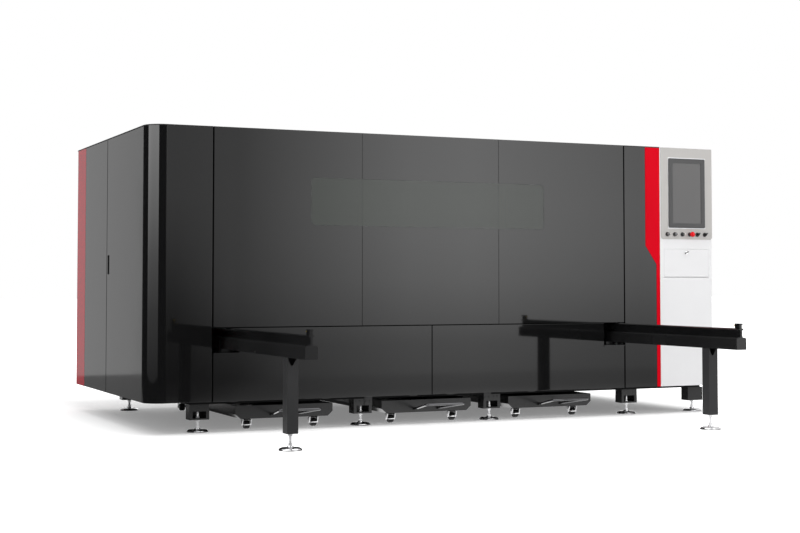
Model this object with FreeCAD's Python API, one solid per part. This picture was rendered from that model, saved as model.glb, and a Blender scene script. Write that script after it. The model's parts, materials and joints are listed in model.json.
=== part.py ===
import FreeCAD, Part
import math
import os

# Fiber laser cutting machine with a pull-out worktable.
# Millimetres, +Z up. Machine coordinates while building: X from the left side face,
# Y from the front face towards the back, Z from the floor. Every finished piece is
# moved once, so that the row origin is the bottom centre of the whole machine.

# ---------------------------------------------------------------- overall sizes
enclosure_depth = 2207.0
enclosure_bottom = 213.0
enclosure_top = 2086.0
beam_reach = 1504.0

# ---------------------------------------------------------------- clearances
seam = 3.0
door_seam = 6.0
skin_seam = 1.0
flap_seam = 1.0
seat_gap = 0.3
run_gap = 2.0
cut_over = 5.0
pin_clearance = 0.1

# small turned pieces that repeat carry flats instead of a full round
pin_sides = 8
hinge_sides = 12
pad_sides = 10
wheel_sides = 12
knob_sides = 12

# ---------------------------------------------------------------- sheet panels
sheet = 3.0
pan_depth = 30.0
edge_radius = 2.0
roof_sheet = 8.0
corner_radius = 124.0
corner_flat = 1.0
vent_rows = 3
vent_bottom = 420.0
vent_pitch = 60.0
vent_half = 130.0
vent_height = 12.0
tab_length = 60.0
tab_height = 5.0

# ---------------------------------------------------------------- front layout
door_left = 455.0
door_width = 3300.0
door_right = door_left + door_width
door_bottom = 713.0
skin_count = 3
lower_split = door_left + door_width / 2.0
window_side = 712.0
window_left = door_left + window_side
window_right = door_right - window_side - sheet
window_bottom = 1422.0
window_top = 1757.0
window_radius = 35.0
pane_thickness = 6.0
right_panel_width = 198.0
trim_step = 101.0
trim_band = 33.0
trim_left_high = door_right + right_panel_width
trim_left_low = trim_left_high + trim_step
trim_right = trim_left_low + trim_band
console_span = 502.0
overall_length = trim_right + console_span
trim_knee_top = 1310.0
trim_knee_bottom = 1165.0
notch_width = 187.0
notch_depth = 170.0

# ---------------------------------------------------------------- left side layout
side_door_rear = 1165.0
rear_trim_depth = 307.0
rear_trim_width = 120.0
side_panel_rear = enclosure_depth - rear_trim_depth
handle_length = 135.0
handle_width = 30.0
handle_recess = 50.0
grip_front = 2.0
grip_back = 10.0
grip_pin_x = 8.0
grip_pin_drop = 12.0
handle_from_edge = 26.0
handle_mid_z = 1152.0
handle_depth = 14.0
hinge_barrel = 5.0
hinge_length = 70.0
hinge_z = [420.0, 1150.0, 1810.0]

# ---------------------------------------------------------------- base frame
tube_depth = 90.0
tube_height = 120.0
tube_wall = 6.0
frame_bottom = 190.0
frame_inset = 112.0
frame_front = frame_inset
frame_back = enclosure_depth - frame_inset
foot_from_side = 100.0
foot_from_door = 57.0
foot_under_right = 112.0
bay_left = 1210.0
bay_right = 1214.0
cross_x = [
    door_left - foot_from_door,
    door_left - foot_from_door + bay_left,
    door_right + foot_under_right - bay_right,
    door_right + foot_under_right,
    overall_length - foot_from_side,
]
frame_left = cross_x[0] - 72.0
frame_right = overall_length - 55.0

# ---------------------------------------------------------------- foot blocks and feet
block_width = 140.0
block_bottom = 85.0
block_wall = 10.0
block_window_width = 96.0
block_window_height = 47.0
splice_width = 60.0
splice_thick = 6.0
splice_top = 214.0
bolt_radius = 6.0
bolt_head = 5.0
pad_radius = 73.5
pad_height = 16.0
pad_land = 5.0
pad_ball = 14.0
stud_radius = 9.0
nut_radius = 15.0
nut_height = 15.0

# ---------------------------------------------------------------- table rail beams
beam_in_left = 138.0
beam_in_right = 53.0
beam_x = [door_left + beam_in_left, door_right - beam_in_right]
beam_width = 80.0
beam_bottom = 565.0
beam_top = 648.0
beam_round = 16.0
beam_inner_end = frame_back
rail_web = 14.0
rail_web_foot = 20.0
rail_head_bottom = 697.0
rail_top = 711.0
rail_head_width = 38.0
leg_width = 72.0
leg_depth = 80.0
leg_wall = 5.0
leg_from_end = 354.0
leg_y = leg_from_end - beam_reach
leg_bottom = 102.0
leg_notch_width = 60.0
leg_notch_depth = 50.0
stop_length = 58.0
stop_width = 22.0
stop_top = 743.0
stop_lip = 9.0
bumper_radius = 7.0
bumper_length = 8.0
support_y = [frame_front + tube_depth / 2.0, frame_back - tube_depth / 2.0]
support_size = 80.0
bracket_plate = 8.0
bracket_length = 96.0
bracket_front = 144.0

# ---------------------------------------------------------------- worktable
table_front = 360.0
table_rear_clear = 347.0
table_back = enclosure_depth - table_rear_clear
table_side_gap = 28.0
table_tube = 60.0
table_tube_bottom = 744.0
wheel_radius = 45.0
wheel_width = 40.0
axle_radius = 12.0
wheel_nub = 27.0
slat_count = 20
slat_thick = 5.0
slat_height = 72.0
tooth_pitch = 110.0
tooth_depth = 26.0
slat_top = 880.0
comb_top = 830.0
comb_thick = 10.0
flange_radius = 52.0
flange_thick = 5.0
wheel_from_end = 80.0
wheel_y = [table_front + wheel_from_end, (table_front + table_back) / 2.0, table_back - wheel_from_end]

# ---------------------------------------------------------------- gantry
runway_bottom = 905.0
runway_height = 150.0
linear_rail = 28.0
rack_height = 30.0
rack_depth = 20.0
gantry_from_beam = 222.0
gantry_rest_x = beam_x[1] - gantry_from_beam
gantry_width = 220.0
gantry_height = 190.0
gantry_wall = 8.0
gantry_foot = 42.0
track_start = 200.0
track_end = 100.0
motor_radius = 42.0
motor_length = 230.0
lift_motor_radius = 28.0
lift_motor_length = 120.0
head_below_beam = 150.0
head_cap = 60.0
head_from_plate = 45.0
head_body_half = 40.0
z_plate_thick = 18.0
z_plate_drop = 110.0
z_rail = 14.0
z_rail_width = 16.0
z_rail_spread = 40.0
carriage_thick = 22.0
carriage_edge = 5.0
cross_rail = 20.0
track_edge = 20.0
track_height = 24.0
runner_in = 45.0
runner_half = 40.0
runner_width = 64.0
runner_lift = 6.0
drive_width = 90.0
drive_drop = 110.0
carriage_rest_y = 560.0
carriage_width = 240.0
head_width = 110.0
nozzle_tip = 886.0

# ---------------------------------------------------------------- lifting door
door_frame_tube = 40.0
guide_size = 24.0
cylinder_size = 50.0
carriage_block_height = 80.0
carriage_block_z = [720.0, 840.0]

# ---------------------------------------------------------------- console
console_front = 2.0
console_wrap = 600.0
console_round = 20.0
plate_left = trim_right + 11.0
plate_right = overall_length - 6.0
plate_height = 720.0
plate_top = enclosure_top - seam
plate_bottom = plate_top - plate_height
plate_thick = 4.0
plate_radius = 24.0
bezel_from_side = 71.0
bezel_from_bottom = 90.0
bezel_from_top = 82.0
bezel_left = plate_left + bezel_from_side
bezel_right = plate_right - bezel_from_side - 1.0
bezel_bottom = plate_bottom + bezel_from_bottom
bezel_top = plate_top - bezel_from_top
bezel_proud = 7.0
bezel_side = 36.0
bezel_radius = 10.0
control_z = plate_bottom + 39.0
control_first = plate_left + 57.0
control_pitch = 71.0
control_count = 6
collar_radius = 17.0
collar_proud = 9.0
shaft_radius = 8.0
cap_radius = 12.5
cap_height = 12.0
button_travel = 4.0
stop_travel = 5.0
stop_reach = 44.0
flap_left = plate_left + 30.0
flap_right = plate_right - 36.0
flap_below_plate = 78.0
flap_height = 218.0
flap_top = plate_bottom - flap_below_plate
flap_bottom = flap_top - flap_height
recess_depth = 62.0
keyboard_thick = 22.0
flap_hinge_gap = 4.0
knuckle_radius = 2.8
knuckle_length = 14.0
pin_radius = 1.5

# ---------------------------------------------------------------- slag trolleys
trolley_from_foot = [626.0, 520.0, 515.0]
trolley_x = [foot + step for foot, step in zip(cross_x[:3], trolley_from_foot)]
trolley_width = 722.0
trolley_front = 137.0
trolley_rear_clear = 262.0
trolley_back = enclosure_depth - trolley_rear_clear
trolley_top = 167.0
trolley_bottom = 77.0
flap_lip = 12.0
board_side = 24.0
board_low = 22.0
board_high = 50.0
key_rows = 5
key_size = 20.0
key_pitch = 26.0
key_margin = 6.0
key_rise = 5.0
latch_from_top = 27.0
latch_radius = 14.0
latch_stem = 8.0
latch_thick = 4.0
latch_grip_half = 20.0
latch_cam_half = 7.0
latch_cam_reach = 20.0
trolley_chamfer_in = 37.0
trolley_chamfer_up = 33.0
castor_spread = 500.0
castor_inset = 98.0
castor_wheel_radius = 29.0
castor_wheel_width = 40.0
castor_fork_width = 64.0
castor_fork_wall = 5.0
castor_fork_drop = 9.0
castor_axle = 5.0
castor_fork_length = 46.0
bail_bar_radius = 9.0
bail_half = 150.0
bail_root_half = 95.0
bail_reach = 312.0
bail_bar_z = 155.0
bail_root_z = 104.0
bail_arm = 11.0
bail_pin = 4.0
bail_pin_half = 13.0
lug_spread = 10.0
lug_thick = 5.0
lug_half = 9.0
lug_pivot_in = 10.0

V = FreeCAD.Vector
origin_shift = V(-overall_length / 2.0, -(enclosure_depth - beam_reach) / 2.0, 0.0)
panel_top = enclosure_top - roof_sheet
AXIS_X = V(1, 0, 0)
AXIS_Y = V(0, 1, 0)
AXIS_Z = V(0, 0, 1)


# ---------------------------------------------------------------- helpers
def box(x0, x1, y0, y1, z0, z1):
    return Part.makeBox(x1 - x0, y1 - y0, z1 - z0, V(x0, y0, z0))


def cylinder(radius, start, axis, length):
    return Part.makeCylinder(radius, length, start, axis)


def prism(points, push):
    wire = Part.makePolygon([V(*p) for p in points] + [V(*points[0])])
    return Part.Face(wire).extrude(push)


def tube_along(axis, x0, x1, y0, y1, z0, z1, wall):
    outer = box(x0, x1, y0, y1, z0, z1)
    if axis == "x":
        inner = box(x0 - 1, x1 + 1, y0 + wall, y1 - wall, z0 + wall, z1 - wall)
    elif axis == "y":
        inner = box(x0 + wall, x1 - wall, y0 - 1, y1 + 1, z0 + wall, z1 - wall)
    else:
        inner = box(x0 + wall, x1 - wall, y0 + wall, y1 - wall, z0 - 1, z1 + 1)
    return outer.cut(inner)


def round_outline(u0, u1, v0, v1, radii):
    """Closed wire in the XZ plane; radii for low-left, low-right, top-right, top-left."""
    r0, r1, r2, r3 = radii
    k = math.sqrt(0.5)
    edges = []

    def line(a, b):
        if (b - a).Length > 1e-6:
            edges.append(Part.LineSegment(a, b).toShape())

    def arc(a, m, b, r):
        if r > 0:
            edges.append(Part.Arc(a, m, b).toShape())

    line(V(u0 + r0, 0, v0), V(u1 - r1, 0, v0))
    arc(V(u1 - r1, 0, v0), V(u1 - r1 + r1 * k, 0, v0 + r1 - r1 * k), V(u1, 0, v0 + r1), r1)
    line(V(u1, 0, v0 + r1), V(u1, 0, v1 - r2))
    arc(V(u1, 0, v1 - r2), V(u1 - r2 + r2 * k, 0, v1 - r2 + r2 * k), V(u1 - r2, 0, v1), r2)
    line(V(u1 - r2, 0, v1), V(u0 + r3, 0, v1))
    arc(V(u0 + r3, 0, v1), V(u0 + r3 - r3 * k, 0, v1 - r3 + r3 * k), V(u0, 0, v1 - r3), r3)
    line(V(u0, 0, v1 - r3), V(u0, 0, v0 + r0))
    arc(V(u0, 0, v0 + r0), V(u0 + r0 - r0 * k, 0, v0 + r0 - r0 * k), V(u0 + r0, 0, v0), r0)
    return Part.Wire(edges)


def rounded_slab(u0, u1, v0, v1, y0, y1, radii):
    slab = Part.Face(round_outline(u0, u1, v0, v1, radii)).extrude(V(0, y1 - y0, 0))
    slab.translate(V(0, y0, 0))
    return slab


def soften(shape, radius, chosen):
    picked = [e for e in shape.Edges if chosen(e)]
    return shape.makeFillet(radius, picked)


def edge_on(edge, axis, value):
    return all(abs(getattr(v.Point, axis) - value) < 0.01 for v in edge.Vertexes)


def front_pan(x0, x1, z0, z1, depth=pan_depth):
    """Folded sheet panel that faces the front, with its returns turned back."""
    outer = soften(box(x0, x1, 0, depth, z0, z1), edge_radius, lambda e: edge_on(e, "y", 0.0))
    inner = box(x0 + sheet, x1 - sheet, sheet, depth + cut_over, z0 + sheet, z1 - sheet)
    return outer.cut(inner)


def left_pan(y0, y1, z0, z1, depth=pan_depth):
    outer = soften(box(0, depth, y0, y1, z0, z1), edge_radius, lambda e: edge_on(e, "x", 0.0))
    inner = box(sheet, depth + cut_over, y0 + sheet, y1 - sheet, z0 + sheet, z1 - sheet)
    return outer.cut(inner)


def rear_pan(x0, x1, z0, z1):
    back = enclosure_depth
    outer = soften(box(x0, x1, back - pan_depth, back, z0, z1), edge_radius,
                   lambda e: edge_on(e, "y", back))
    inner = box(x0 + sheet, x1 - sheet, back - pan_depth - cut_over, back - sheet, z0 + sheet, z1 - sheet)
    return outer.cut(inner)


def turned(profile, centre, axis, sides):
    """Turned solid with flats. The profile holds (radius, distance along the axis), from radius 0 to radius 0."""
    if axis == AXIS_X:
        u, w = AXIS_Y, AXIS_Z
    elif axis == AXIS_Y:
        u, w = AXIS_Z, AXIS_X
    else:
        u, w = AXIS_X, AXIS_Y
    to_corner = 1.0 / math.cos(math.pi / sides)
    rings = []
    for radius, distance in profile:
        ring = []
        for i in range(sides):
            angle = 2.0 * math.pi * (i + 0.5) / sides
            spoke = u * math.cos(angle) + w * math.sin(angle)
            ring.append(centre + axis * distance + spoke * (radius * to_corner))
        rings.append(ring)
    faces = []
    for (r0, d0), (r1, d1), low, high in zip(profile[:-1], profile[1:], rings[:-1], rings[1:]):
        if r0 == 0.0 or r1 == 0.0:
            rim = high if r0 == 0.0 else low
            faces.append(Part.Face(Part.makePolygon(rim + [rim[0]])))
            continue
        for i in range(sides):
            j = (i + 1) % sides
            faces.append(Part.Face(Part.makePolygon([low[i], low[j], high[j], high[i], low[i]])))
    solid = Part.Solid(Part.Shell(faces))
    if solid.Volume < 0:
        solid.reverse()
    return solid


def flat_disc(radius, start, axis, length, sides):
    return turned([(0.0, 0.0), (radius, 0.0), (radius, length), (0.0, length)], start, axis, sides)


def bolt_front(x, y, z):
    """Hexagon head seated on a face that looks to the front."""
    return flat_disc(bolt_radius, V(x, y - bolt_head, z), AXIS_Y, bolt_head, 6)


parts = {}


def piece(name, solids):
    parts[name] = solids if isinstance(solids, list) else [solids]


# ================================================================ base frame
front_tube_back = frame_front + tube_depth
rear_tube_front = frame_back - tube_depth
frame_top = frame_bottom + tube_height
long_tubes = []
for y0 in (frame_front, rear_tube_front):
    long_tubes.append(
        tube_along("x", frame_left, frame_right, y0, y0 + tube_depth, frame_bottom, frame_top, tube_wall)
    )
piece("frame_long_tubes", long_tubes)

half_tube = tube_depth / 2.0
cross_tubes = []
for x in cross_x:
    cross_tubes.append(
        tube_along("y", x - half_tube, x + half_tube, front_tube_back, rear_tube_front,
                   frame_bottom, frame_top, tube_wall)
    )
piece("frame_cross_tubes", cross_tubes)

post_x = [cross_x[0], cross_x[3]]
posts = []
for y0 in (frame_front, rear_tube_front):
    for x in post_x:
        posts.append(
            tube_along("z", x - half_tube, x + half_tube, y0, y0 + tube_depth, frame_top, runway_bottom,
                       tube_wall)
        )
posts.append(
    tube_along("z", lower_split - half_tube, lower_split + half_tube, rear_tube_front, frame_back,
               frame_top, runway_bottom, tube_wall)
)
support_half = support_size / 2.0
for x in beam_x:
    for y in support_y:
        posts.append(
            tube_along("z", x - support_half, x + support_half, y - support_half, y + support_half,
                       frame_top, beam_bottom, tube_wall)
        )
piece("frame_posts", posts)

# ================================================================ foot blocks
foot_rows = [frame_front, rear_tube_front]
half_block = block_width / 2.0
half_window = block_window_width / 2.0
window_low = block_bottom + block_wall
blocks = []
for row, y0 in enumerate(foot_rows):
    for x in cross_x:
        block = box(x - half_block, x + half_block, y0, y0 + tube_depth, block_bottom, frame_bottom)
        room = box(x - half_block + tube_wall, x + half_block - tube_wall, y0 + tube_wall,
                   y0 + tube_depth - tube_wall,
                   window_low, frame_bottom - tube_wall)
        block = block.cut(room)
        if x != cross_x[-1]:
            wall_y = y0 - 1.0 if row == 0 else y0 + tube_depth - tube_wall - 1.0
            window = box(x - half_window, x + half_window, wall_y, wall_y + tube_wall + 2.0,
                         window_low, window_low + block_window_height)
            block = block.cut(window)
        blocks.append(block)
splice_sides = [(cross_x[1], 1), (cross_x[2], -1)]
for x, side in splice_sides:
    x0 = x + half_block - splice_width if side > 0 else x - half_block
    plate = box(x0, x0 + splice_width, frame_front - splice_thick, frame_front,
                window_low + block_window_height, splice_top)
    blocks.append(plate)
    for dx, dz in ((15.0, 12.0), (15.0, 42.0), (45.0, 42.0)):
        bolt_x = x0 + dx if side > 0 else x0 + splice_width - dx
        blocks.append(bolt_front(bolt_x, frame_front - splice_thick, splice_top - dz))
    for dx in (22.0, 50.0):
        blocks.append(bolt_front(x - side * (half_block - dx), frame_front, frame_bottom - 16.0))
piece("frame_foot_blocks", blocks)


# ================================================================ levelling feet
def levelling_foot(x, y, carrier_bottom):
    """Dished steel pad with its ball seat and stud, and the lock nut under the carrier."""
    profile = [
        (0.0, 0.0),
        (pad_radius, 0.0),
        (pad_radius, pad_land),
        (stud_radius + pad_ball, pad_height),
        (stud_radius, pad_height + pad_ball),
        (stud_radius, carrier_bottom),
        (0.0, carrier_bottom),
    ]
    body = turned(profile, V(x, y, 0), AXIS_Z, pad_sides)
    lock = flat_disc(nut_radius, V(x, y, carrier_bottom - nut_height), AXIS_Z, nut_height, 6)
    return body.fuse(lock).removeSplitter()


feet = []
for y0 in foot_rows:
    for x in cross_x:
        feet.append(levelling_foot(x, y0 + half_tube, block_bottom))
for x in beam_x:
    feet.append(levelling_foot(x, leg_y, leg_bottom))
piece("levelling_feet", feet)

# ================================================================ gantry runways
runway_top = runway_bottom + runway_height
runways = []
for y0 in (frame_front, rear_tube_front):
    runways.append(
        tube_along("x", frame_left, cross_x[3] + half_tube, y0, y0 + tube_depth, runway_bottom, runway_top,
                   tube_wall)
    )
piece("gantry_runways", runways)

rail_top_z = runway_top + linear_rail
rail_half = linear_rail / 2.0
rails = []
for y0, inward in ((frame_front, 1), (rear_tube_front, -1)):
    mid = y0 + half_tube
    profile = [
        (frame_left, mid - rail_half, runway_top),
        (frame_left, mid + rail_half, runway_top),
        (frame_left, mid + rail_half, runway_top + 10.0),
        (frame_left, mid + rail_half - 5.0, runway_top + 15.0),
        (frame_left, mid + rail_half, runway_top + 20.0),
        (frame_left, mid + rail_half, rail_top_z),
        (frame_left, mid - rail_half, rail_top_z),
        (frame_left, mid - rail_half, runway_top + 20.0),
        (frame_left, mid - rail_half + 5.0, runway_top + 15.0),
        (frame_left, mid - rail_half, runway_top + 10.0),
    ]
    rails.append(prism(profile, V(cross_x[3] + half_tube - frame_left, 0, 0)))
    face = y0 + tube_depth if inward > 0 else y0
    low = min(face, face + inward * rack_depth)
    high = max(face, face + inward * rack_depth)
    rails.append(box(frame_left, cross_x[3] + half_tube, low, high, runway_top - rack_height - 10.0,
                     runway_top - 10.0))
piece("gantry_rails", rails)

# ================================================================ enclosure frame
ef = 40.0
ef_wall = 3.0
corner_tube = 70.0
e_in = pan_depth
e_left = e_in
e_right = overall_length - pan_depth
e_back = enclosure_depth - pan_depth
corner_post = corner_radius - (corner_radius - pan_depth) / math.sqrt(2.0) + seat_gap
enclosure = []


def ebar(axis, x0, x1, y0, y1, z0, z1):
    enclosure.append(tube_along(axis, x0, x1, y0, y1, z0, z1, ef_wall))


low_z0 = enclosure_bottom + sheet
low_z1 = low_z0 + ef
high_z1 = panel_top
high_z0 = high_z1 - ef
corner_end = corner_post + corner_tube
# left front corner post and left side posts
ebar("z", corner_post, corner_end, corner_post, corner_end, low_z0, high_z1)
ebar("z", e_left, e_left + ef, side_door_rear - ef / 2.0, side_door_rear + ef / 2.0, low_z1, high_z0)
ebar("z", e_left, e_left + ef, e_back - ef, e_back, low_z1, high_z0)
# left side long members
side_start = corner_end
ebar("y", e_left, e_left + ef, side_start, e_back, low_z0, low_z1)
ebar("y", e_left, e_left + ef, side_start, e_back, high_z0, high_z1)
# front left bay
front_start = corner_end
ebar("x", front_start, frame_left + half_tube, e_in, e_in + ef, low_z0, low_z1)
ebar("x", front_start, door_left - seam, e_in, e_in + ef, high_z0, high_z1)
ebar("y", frame_left - 2.0, frame_left + ef - 2.0, e_in + ef, frame_front, low_z0, low_z1)
# front bottom rail behind the lower panels and the fixed right panel
ebar("x", frame_left + half_tube, e_right, e_in, e_in + ef, low_z0, low_z1)
for x in (lower_split, cross_x[3] + 60.0):
    ebar("y", x - ef / 2.0, x + ef / 2.0, e_in + ef, frame_front, low_z0, low_z1)
ebar("z", lower_split - ef / 2.0, lower_split + ef / 2.0, e_in, e_in + ef, low_z1, door_bottom - 2.0 * ef)
ebar("x", door_left + notch_width + ef, door_right - notch_width - ef, e_in, e_in + ef,
     door_bottom - 2.0 * ef, door_bottom - ef)
# right front bay and console bay
right_post = trim_left_low - ef - 10.0
ebar("z", right_post, right_post + ef, e_in, e_in + ef, low_z1, high_z0)
ebar("z", e_right - ef, e_right, e_in + ef, e_in + 2.0 * ef, low_z1, high_z0)
ebar("x", door_right + seam, e_right - ef, e_in, e_in + ef, high_z0, high_z1)
# right side and rear members
ebar("y", frame_right, e_right, e_in + ef, e_back, low_z0, low_z1)
ebar("y", e_right - ef, e_right, e_in + ef, e_back, high_z0, high_z1)
ebar("z", e_right - ef, e_right, e_back - ef, e_back, low_z1, high_z0)
ebar("x", e_left + ef, e_right - ef, e_back - ef, e_back, low_z0, low_z1)
ebar("x", e_left + ef, e_right - ef, e_back - ef, e_back, high_z0, high_z1)
for x in (cross_x[1], cross_x[3]):
    ebar("z", x - ef / 2.0, x + ef / 2.0, e_back - ef, e_back, low_z1, high_z0)
    ebar("y", x - ef / 2.0, x + ef / 2.0, frame_back, e_back - ef, low_z0, low_z1)
# header that carries the roof behind the lifting door
header_y = e_in + ef + 34.0
ebar("x", e_left + ef, e_right - ef, header_y, header_y + ef, high_z0, high_z1)
piece("enclosure_frame", enclosure)

# ================================================================ outer panels
def quarter_ring():
    """Rounded corner column with a short flat on each side."""
    r = corner_radius
    k = math.sqrt(0.5)
    end = corner_radius + corner_flat
    outer_mid = V(r - r * k, r - r * k, 0)
    ri = r - pan_depth
    inner_mid = V(r - ri * k, r - ri * k, 0)
    edges = [
        Part.LineSegment(V(0, end, 0), V(0, r, 0)).toShape(),
        Part.Arc(V(0, r, 0), outer_mid, V(r, 0, 0)).toShape(),
        Part.LineSegment(V(r, 0, 0), V(end, 0, 0)).toShape(),
        Part.LineSegment(V(end, 0, 0), V(end, pan_depth, 0)).toShape(),
        Part.LineSegment(V(end, pan_depth, 0), V(r, pan_depth, 0)).toShape(),
        Part.Arc(V(r, pan_depth, 0), inner_mid, V(pan_depth, r, 0)).toShape(),
        Part.LineSegment(V(pan_depth, r, 0), V(pan_depth, end, 0)).toShape(),
        Part.LineSegment(V(pan_depth, end, 0), V(0, end, 0)).toShape(),
    ]
    ring = Part.Face(Part.Wire(edges)).extrude(V(0, 0, panel_top - enclosure_bottom))
    ring.translate(V(0, 0, enclosure_bottom))
    return ring


column_end = corner_radius + corner_flat
piece("corner_column", quarter_ring())
piece("front_left_panel", front_pan(column_end + seam, door_left - door_seam, enclosure_bottom, panel_top))
piece("left_side_panel", left_pan(side_door_rear + seam, side_panel_rear - seam / 2.0, enclosure_bottom,
                                  panel_top))

trim_outer = box(0, rear_trim_width, side_panel_rear + seam / 2.0, enclosure_depth, enclosure_bottom,
                 panel_top)
trim_outer = soften(trim_outer, 20.0, lambda e: edge_on(e, "x", 0.0) and edge_on(e, "y", enclosure_depth))
trim_inner = box(pan_depth, rear_trim_width + cut_over, side_panel_rear, enclosure_depth - pan_depth,
                 enclosure_bottom - 1, panel_top + 1)
piece("rear_left_trim", trim_outer.cut(trim_inner))

lower_top = door_bottom - seam
notch_bottom = door_bottom - notch_depth
for name, x0, x1, notch_side in (
    ("lower_left_panel", door_left + seam / 2.0, lower_split - seam / 2.0, -1),
    ("lower_right_panel", lower_split + seam / 2.0, door_right - seam / 2.0, 1),
):
    pan = front_pan(x0, x1, enclosure_bottom, lower_top)
    nx0 = x0 - 1.0 if notch_side < 0 else x1 - notch_width
    nx1 = x0 + notch_width if notch_side < 0 else x1 + 1.0
    pan = pan.cut(box(nx0, nx1, -1, pan_depth + 1, notch_bottom, lower_top + 1))
    lx0 = max(nx0, x0)
    lx1 = min(nx1, x1)
    sill = box(lx0, lx1, -6.0, pan_depth, notch_bottom - 10.0, notch_bottom)
    cheek_x = nx1 if notch_side < 0 else nx0 - sheet
    cheek = box(cheek_x, cheek_x + sheet, sheet / 2.0, pan_depth, notch_bottom - 10.0,
                lower_top - sheet / 2.0)
    pan = pan.fuse([sill, cheek])
    width = x1 - x0
    for part_of in (0.09, 0.5, 0.91):
        tab_x = x0 + width * part_of - tab_length / 2.0
        pan = pan.fuse(box(tab_x, tab_x + tab_length, 1.0, 14.0, enclosure_bottom - tab_height,
                           enclosure_bottom + 1.0))
    piece(name, pan.removeSplitter())


def strip(points, depth, inset):
    """Front-facing folded plate with a free outline in the XZ plane."""
    solid = prism([(x, 0.0, z) for x, z in points], V(0, depth, 0))
    core = prism([(x, sheet, z) for x, z in inset], V(0, depth + cut_over, 0))
    return solid.cut(core)


gap = seam / 2.0
low_left = trim_left_low - gap
high_left = trim_left_high - gap
fixed_left = door_right + door_seam
piece(
    "front_right_panel",
    strip(
        [
            (fixed_left, enclosure_bottom),
            (low_left - gap, enclosure_bottom),
            (low_left - gap, trim_knee_bottom),
            (high_left - gap, trim_knee_top),
            (high_left - gap, panel_top),
            (fixed_left, panel_top),
        ],
        pan_depth,
        [
            (fixed_left + sheet, enclosure_bottom + sheet),
            (low_left - gap - sheet, enclosure_bottom + sheet),
            (low_left - gap - sheet, trim_knee_bottom - sheet),
            (high_left - gap - sheet, trim_knee_top - sheet),
            (high_left - gap - sheet, panel_top - sheet),
            (fixed_left + sheet, panel_top - sheet),
        ],
    ),
)
trim_edge = trim_right - gap
piece(
    "front_trim",
    strip(
        [
            (low_left + gap, enclosure_bottom),
            (trim_edge, enclosure_bottom),
            (trim_edge, panel_top),
            (high_left + gap, panel_top),
            (high_left + gap, trim_knee_top),
            (low_left + gap, trim_knee_bottom),
        ],
        pan_depth,
        [
            (low_left + gap + sheet, enclosure_bottom + sheet),
            (trim_edge - sheet, enclosure_bottom + sheet),
            (trim_edge - sheet, panel_top - sheet),
            (high_left + gap + sheet, panel_top - sheet),
            (high_left + gap + sheet, trim_knee_top + sheet),
            (low_left + gap + sheet, trim_knee_bottom + sheet),
        ],
    ),
)

# roof sheet: stands back from the lifting door, follows the rounded corner
door_slot_back = e_in + door_frame_tube + 4.0
roof = box(0, trim_right, 0, enclosure_depth, panel_top, enclosure_top)
roof = soften(roof, corner_radius, lambda e: edge_on(e, "x", 0.0) and edge_on(e, "y", 0.0))
roof = roof.cut(box(door_left - seam, door_right + seam, -1, door_slot_back, panel_top - 1,
                    enclosure_top + 1))
roof_right = box(trim_right, overall_length, console_wrap + seam, enclosure_depth, panel_top, enclosure_top)
roof_seam_y = door_slot_back
roof_rear = roof.common(box(0, trim_right, roof_seam_y, enclosure_depth, panel_top, enclosure_top))
roof_front = roof.common(box(0, trim_right, 0, roof_seam_y, panel_top, enclosure_top))
piece("roof_panel", [roof_rear, roof_right] + roof_front.Solids)

rear_edges = [rear_trim_width + gap, cross_x[1], cross_x[3], overall_length - pan_depth - gap]
rear = []
for left, right in zip(rear_edges[:-1], rear_edges[1:]):
    pan = rear_pan(left + gap, right - gap, enclosure_bottom, panel_top)
    mid = (left + right) / 2.0
    for row in range(vent_rows):
        z = vent_bottom + vent_pitch * row
        pan = pan.cut(box(mid - vent_half, mid + vent_half, enclosure_depth - sheet - 1,
                          enclosure_depth + 1,
                          z, z + vent_height))
    rear.append(pan)
piece("rear_panels", rear)

right_outer = box(overall_length - pan_depth, overall_length, console_wrap + seam, enclosure_depth,
                  enclosure_bottom, panel_top)
right_outer = soften(right_outer, edge_radius, lambda e: edge_on(e, "x", overall_length))
right_inner = box(overall_length - pan_depth - 1, overall_length - sheet, console_wrap + seam + sheet,
                  enclosure_depth - sheet, enclosure_bottom + sheet, panel_top - sheet)
piece("right_side_panel", right_outer.cut(right_inner))

# ================================================================ console
console_left = trim_right + gap
r = console_round
k45 = math.sqrt(0.5)


def console_profile(inset, back):
    x0 = console_left - (cut_over if inset else 0.0)
    x1 = overall_length - inset
    y0 = console_front + inset
    rr = console_round - inset
    mid = V(x1 - rr + rr * k45, y0 + rr - rr * k45, 0)
    edges = [
        Part.LineSegment(V(x0, y0, 0), V(x1 - rr, y0, 0)).toShape(),
        Part.Arc(V(x1 - rr, y0, 0), mid, V(x1, y0 + rr, 0)).toShape(),
        Part.LineSegment(V(x1, y0 + rr, 0), V(x1, back, 0)).toShape(),
        Part.LineSegment(V(x1, back, 0), V(x0, back, 0)).toShape(),
        Part.LineSegment(V(x0, back, 0), V(x0, y0, 0)).toShape(),
    ]
    return Part.Face(Part.Wire(edges))


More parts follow.
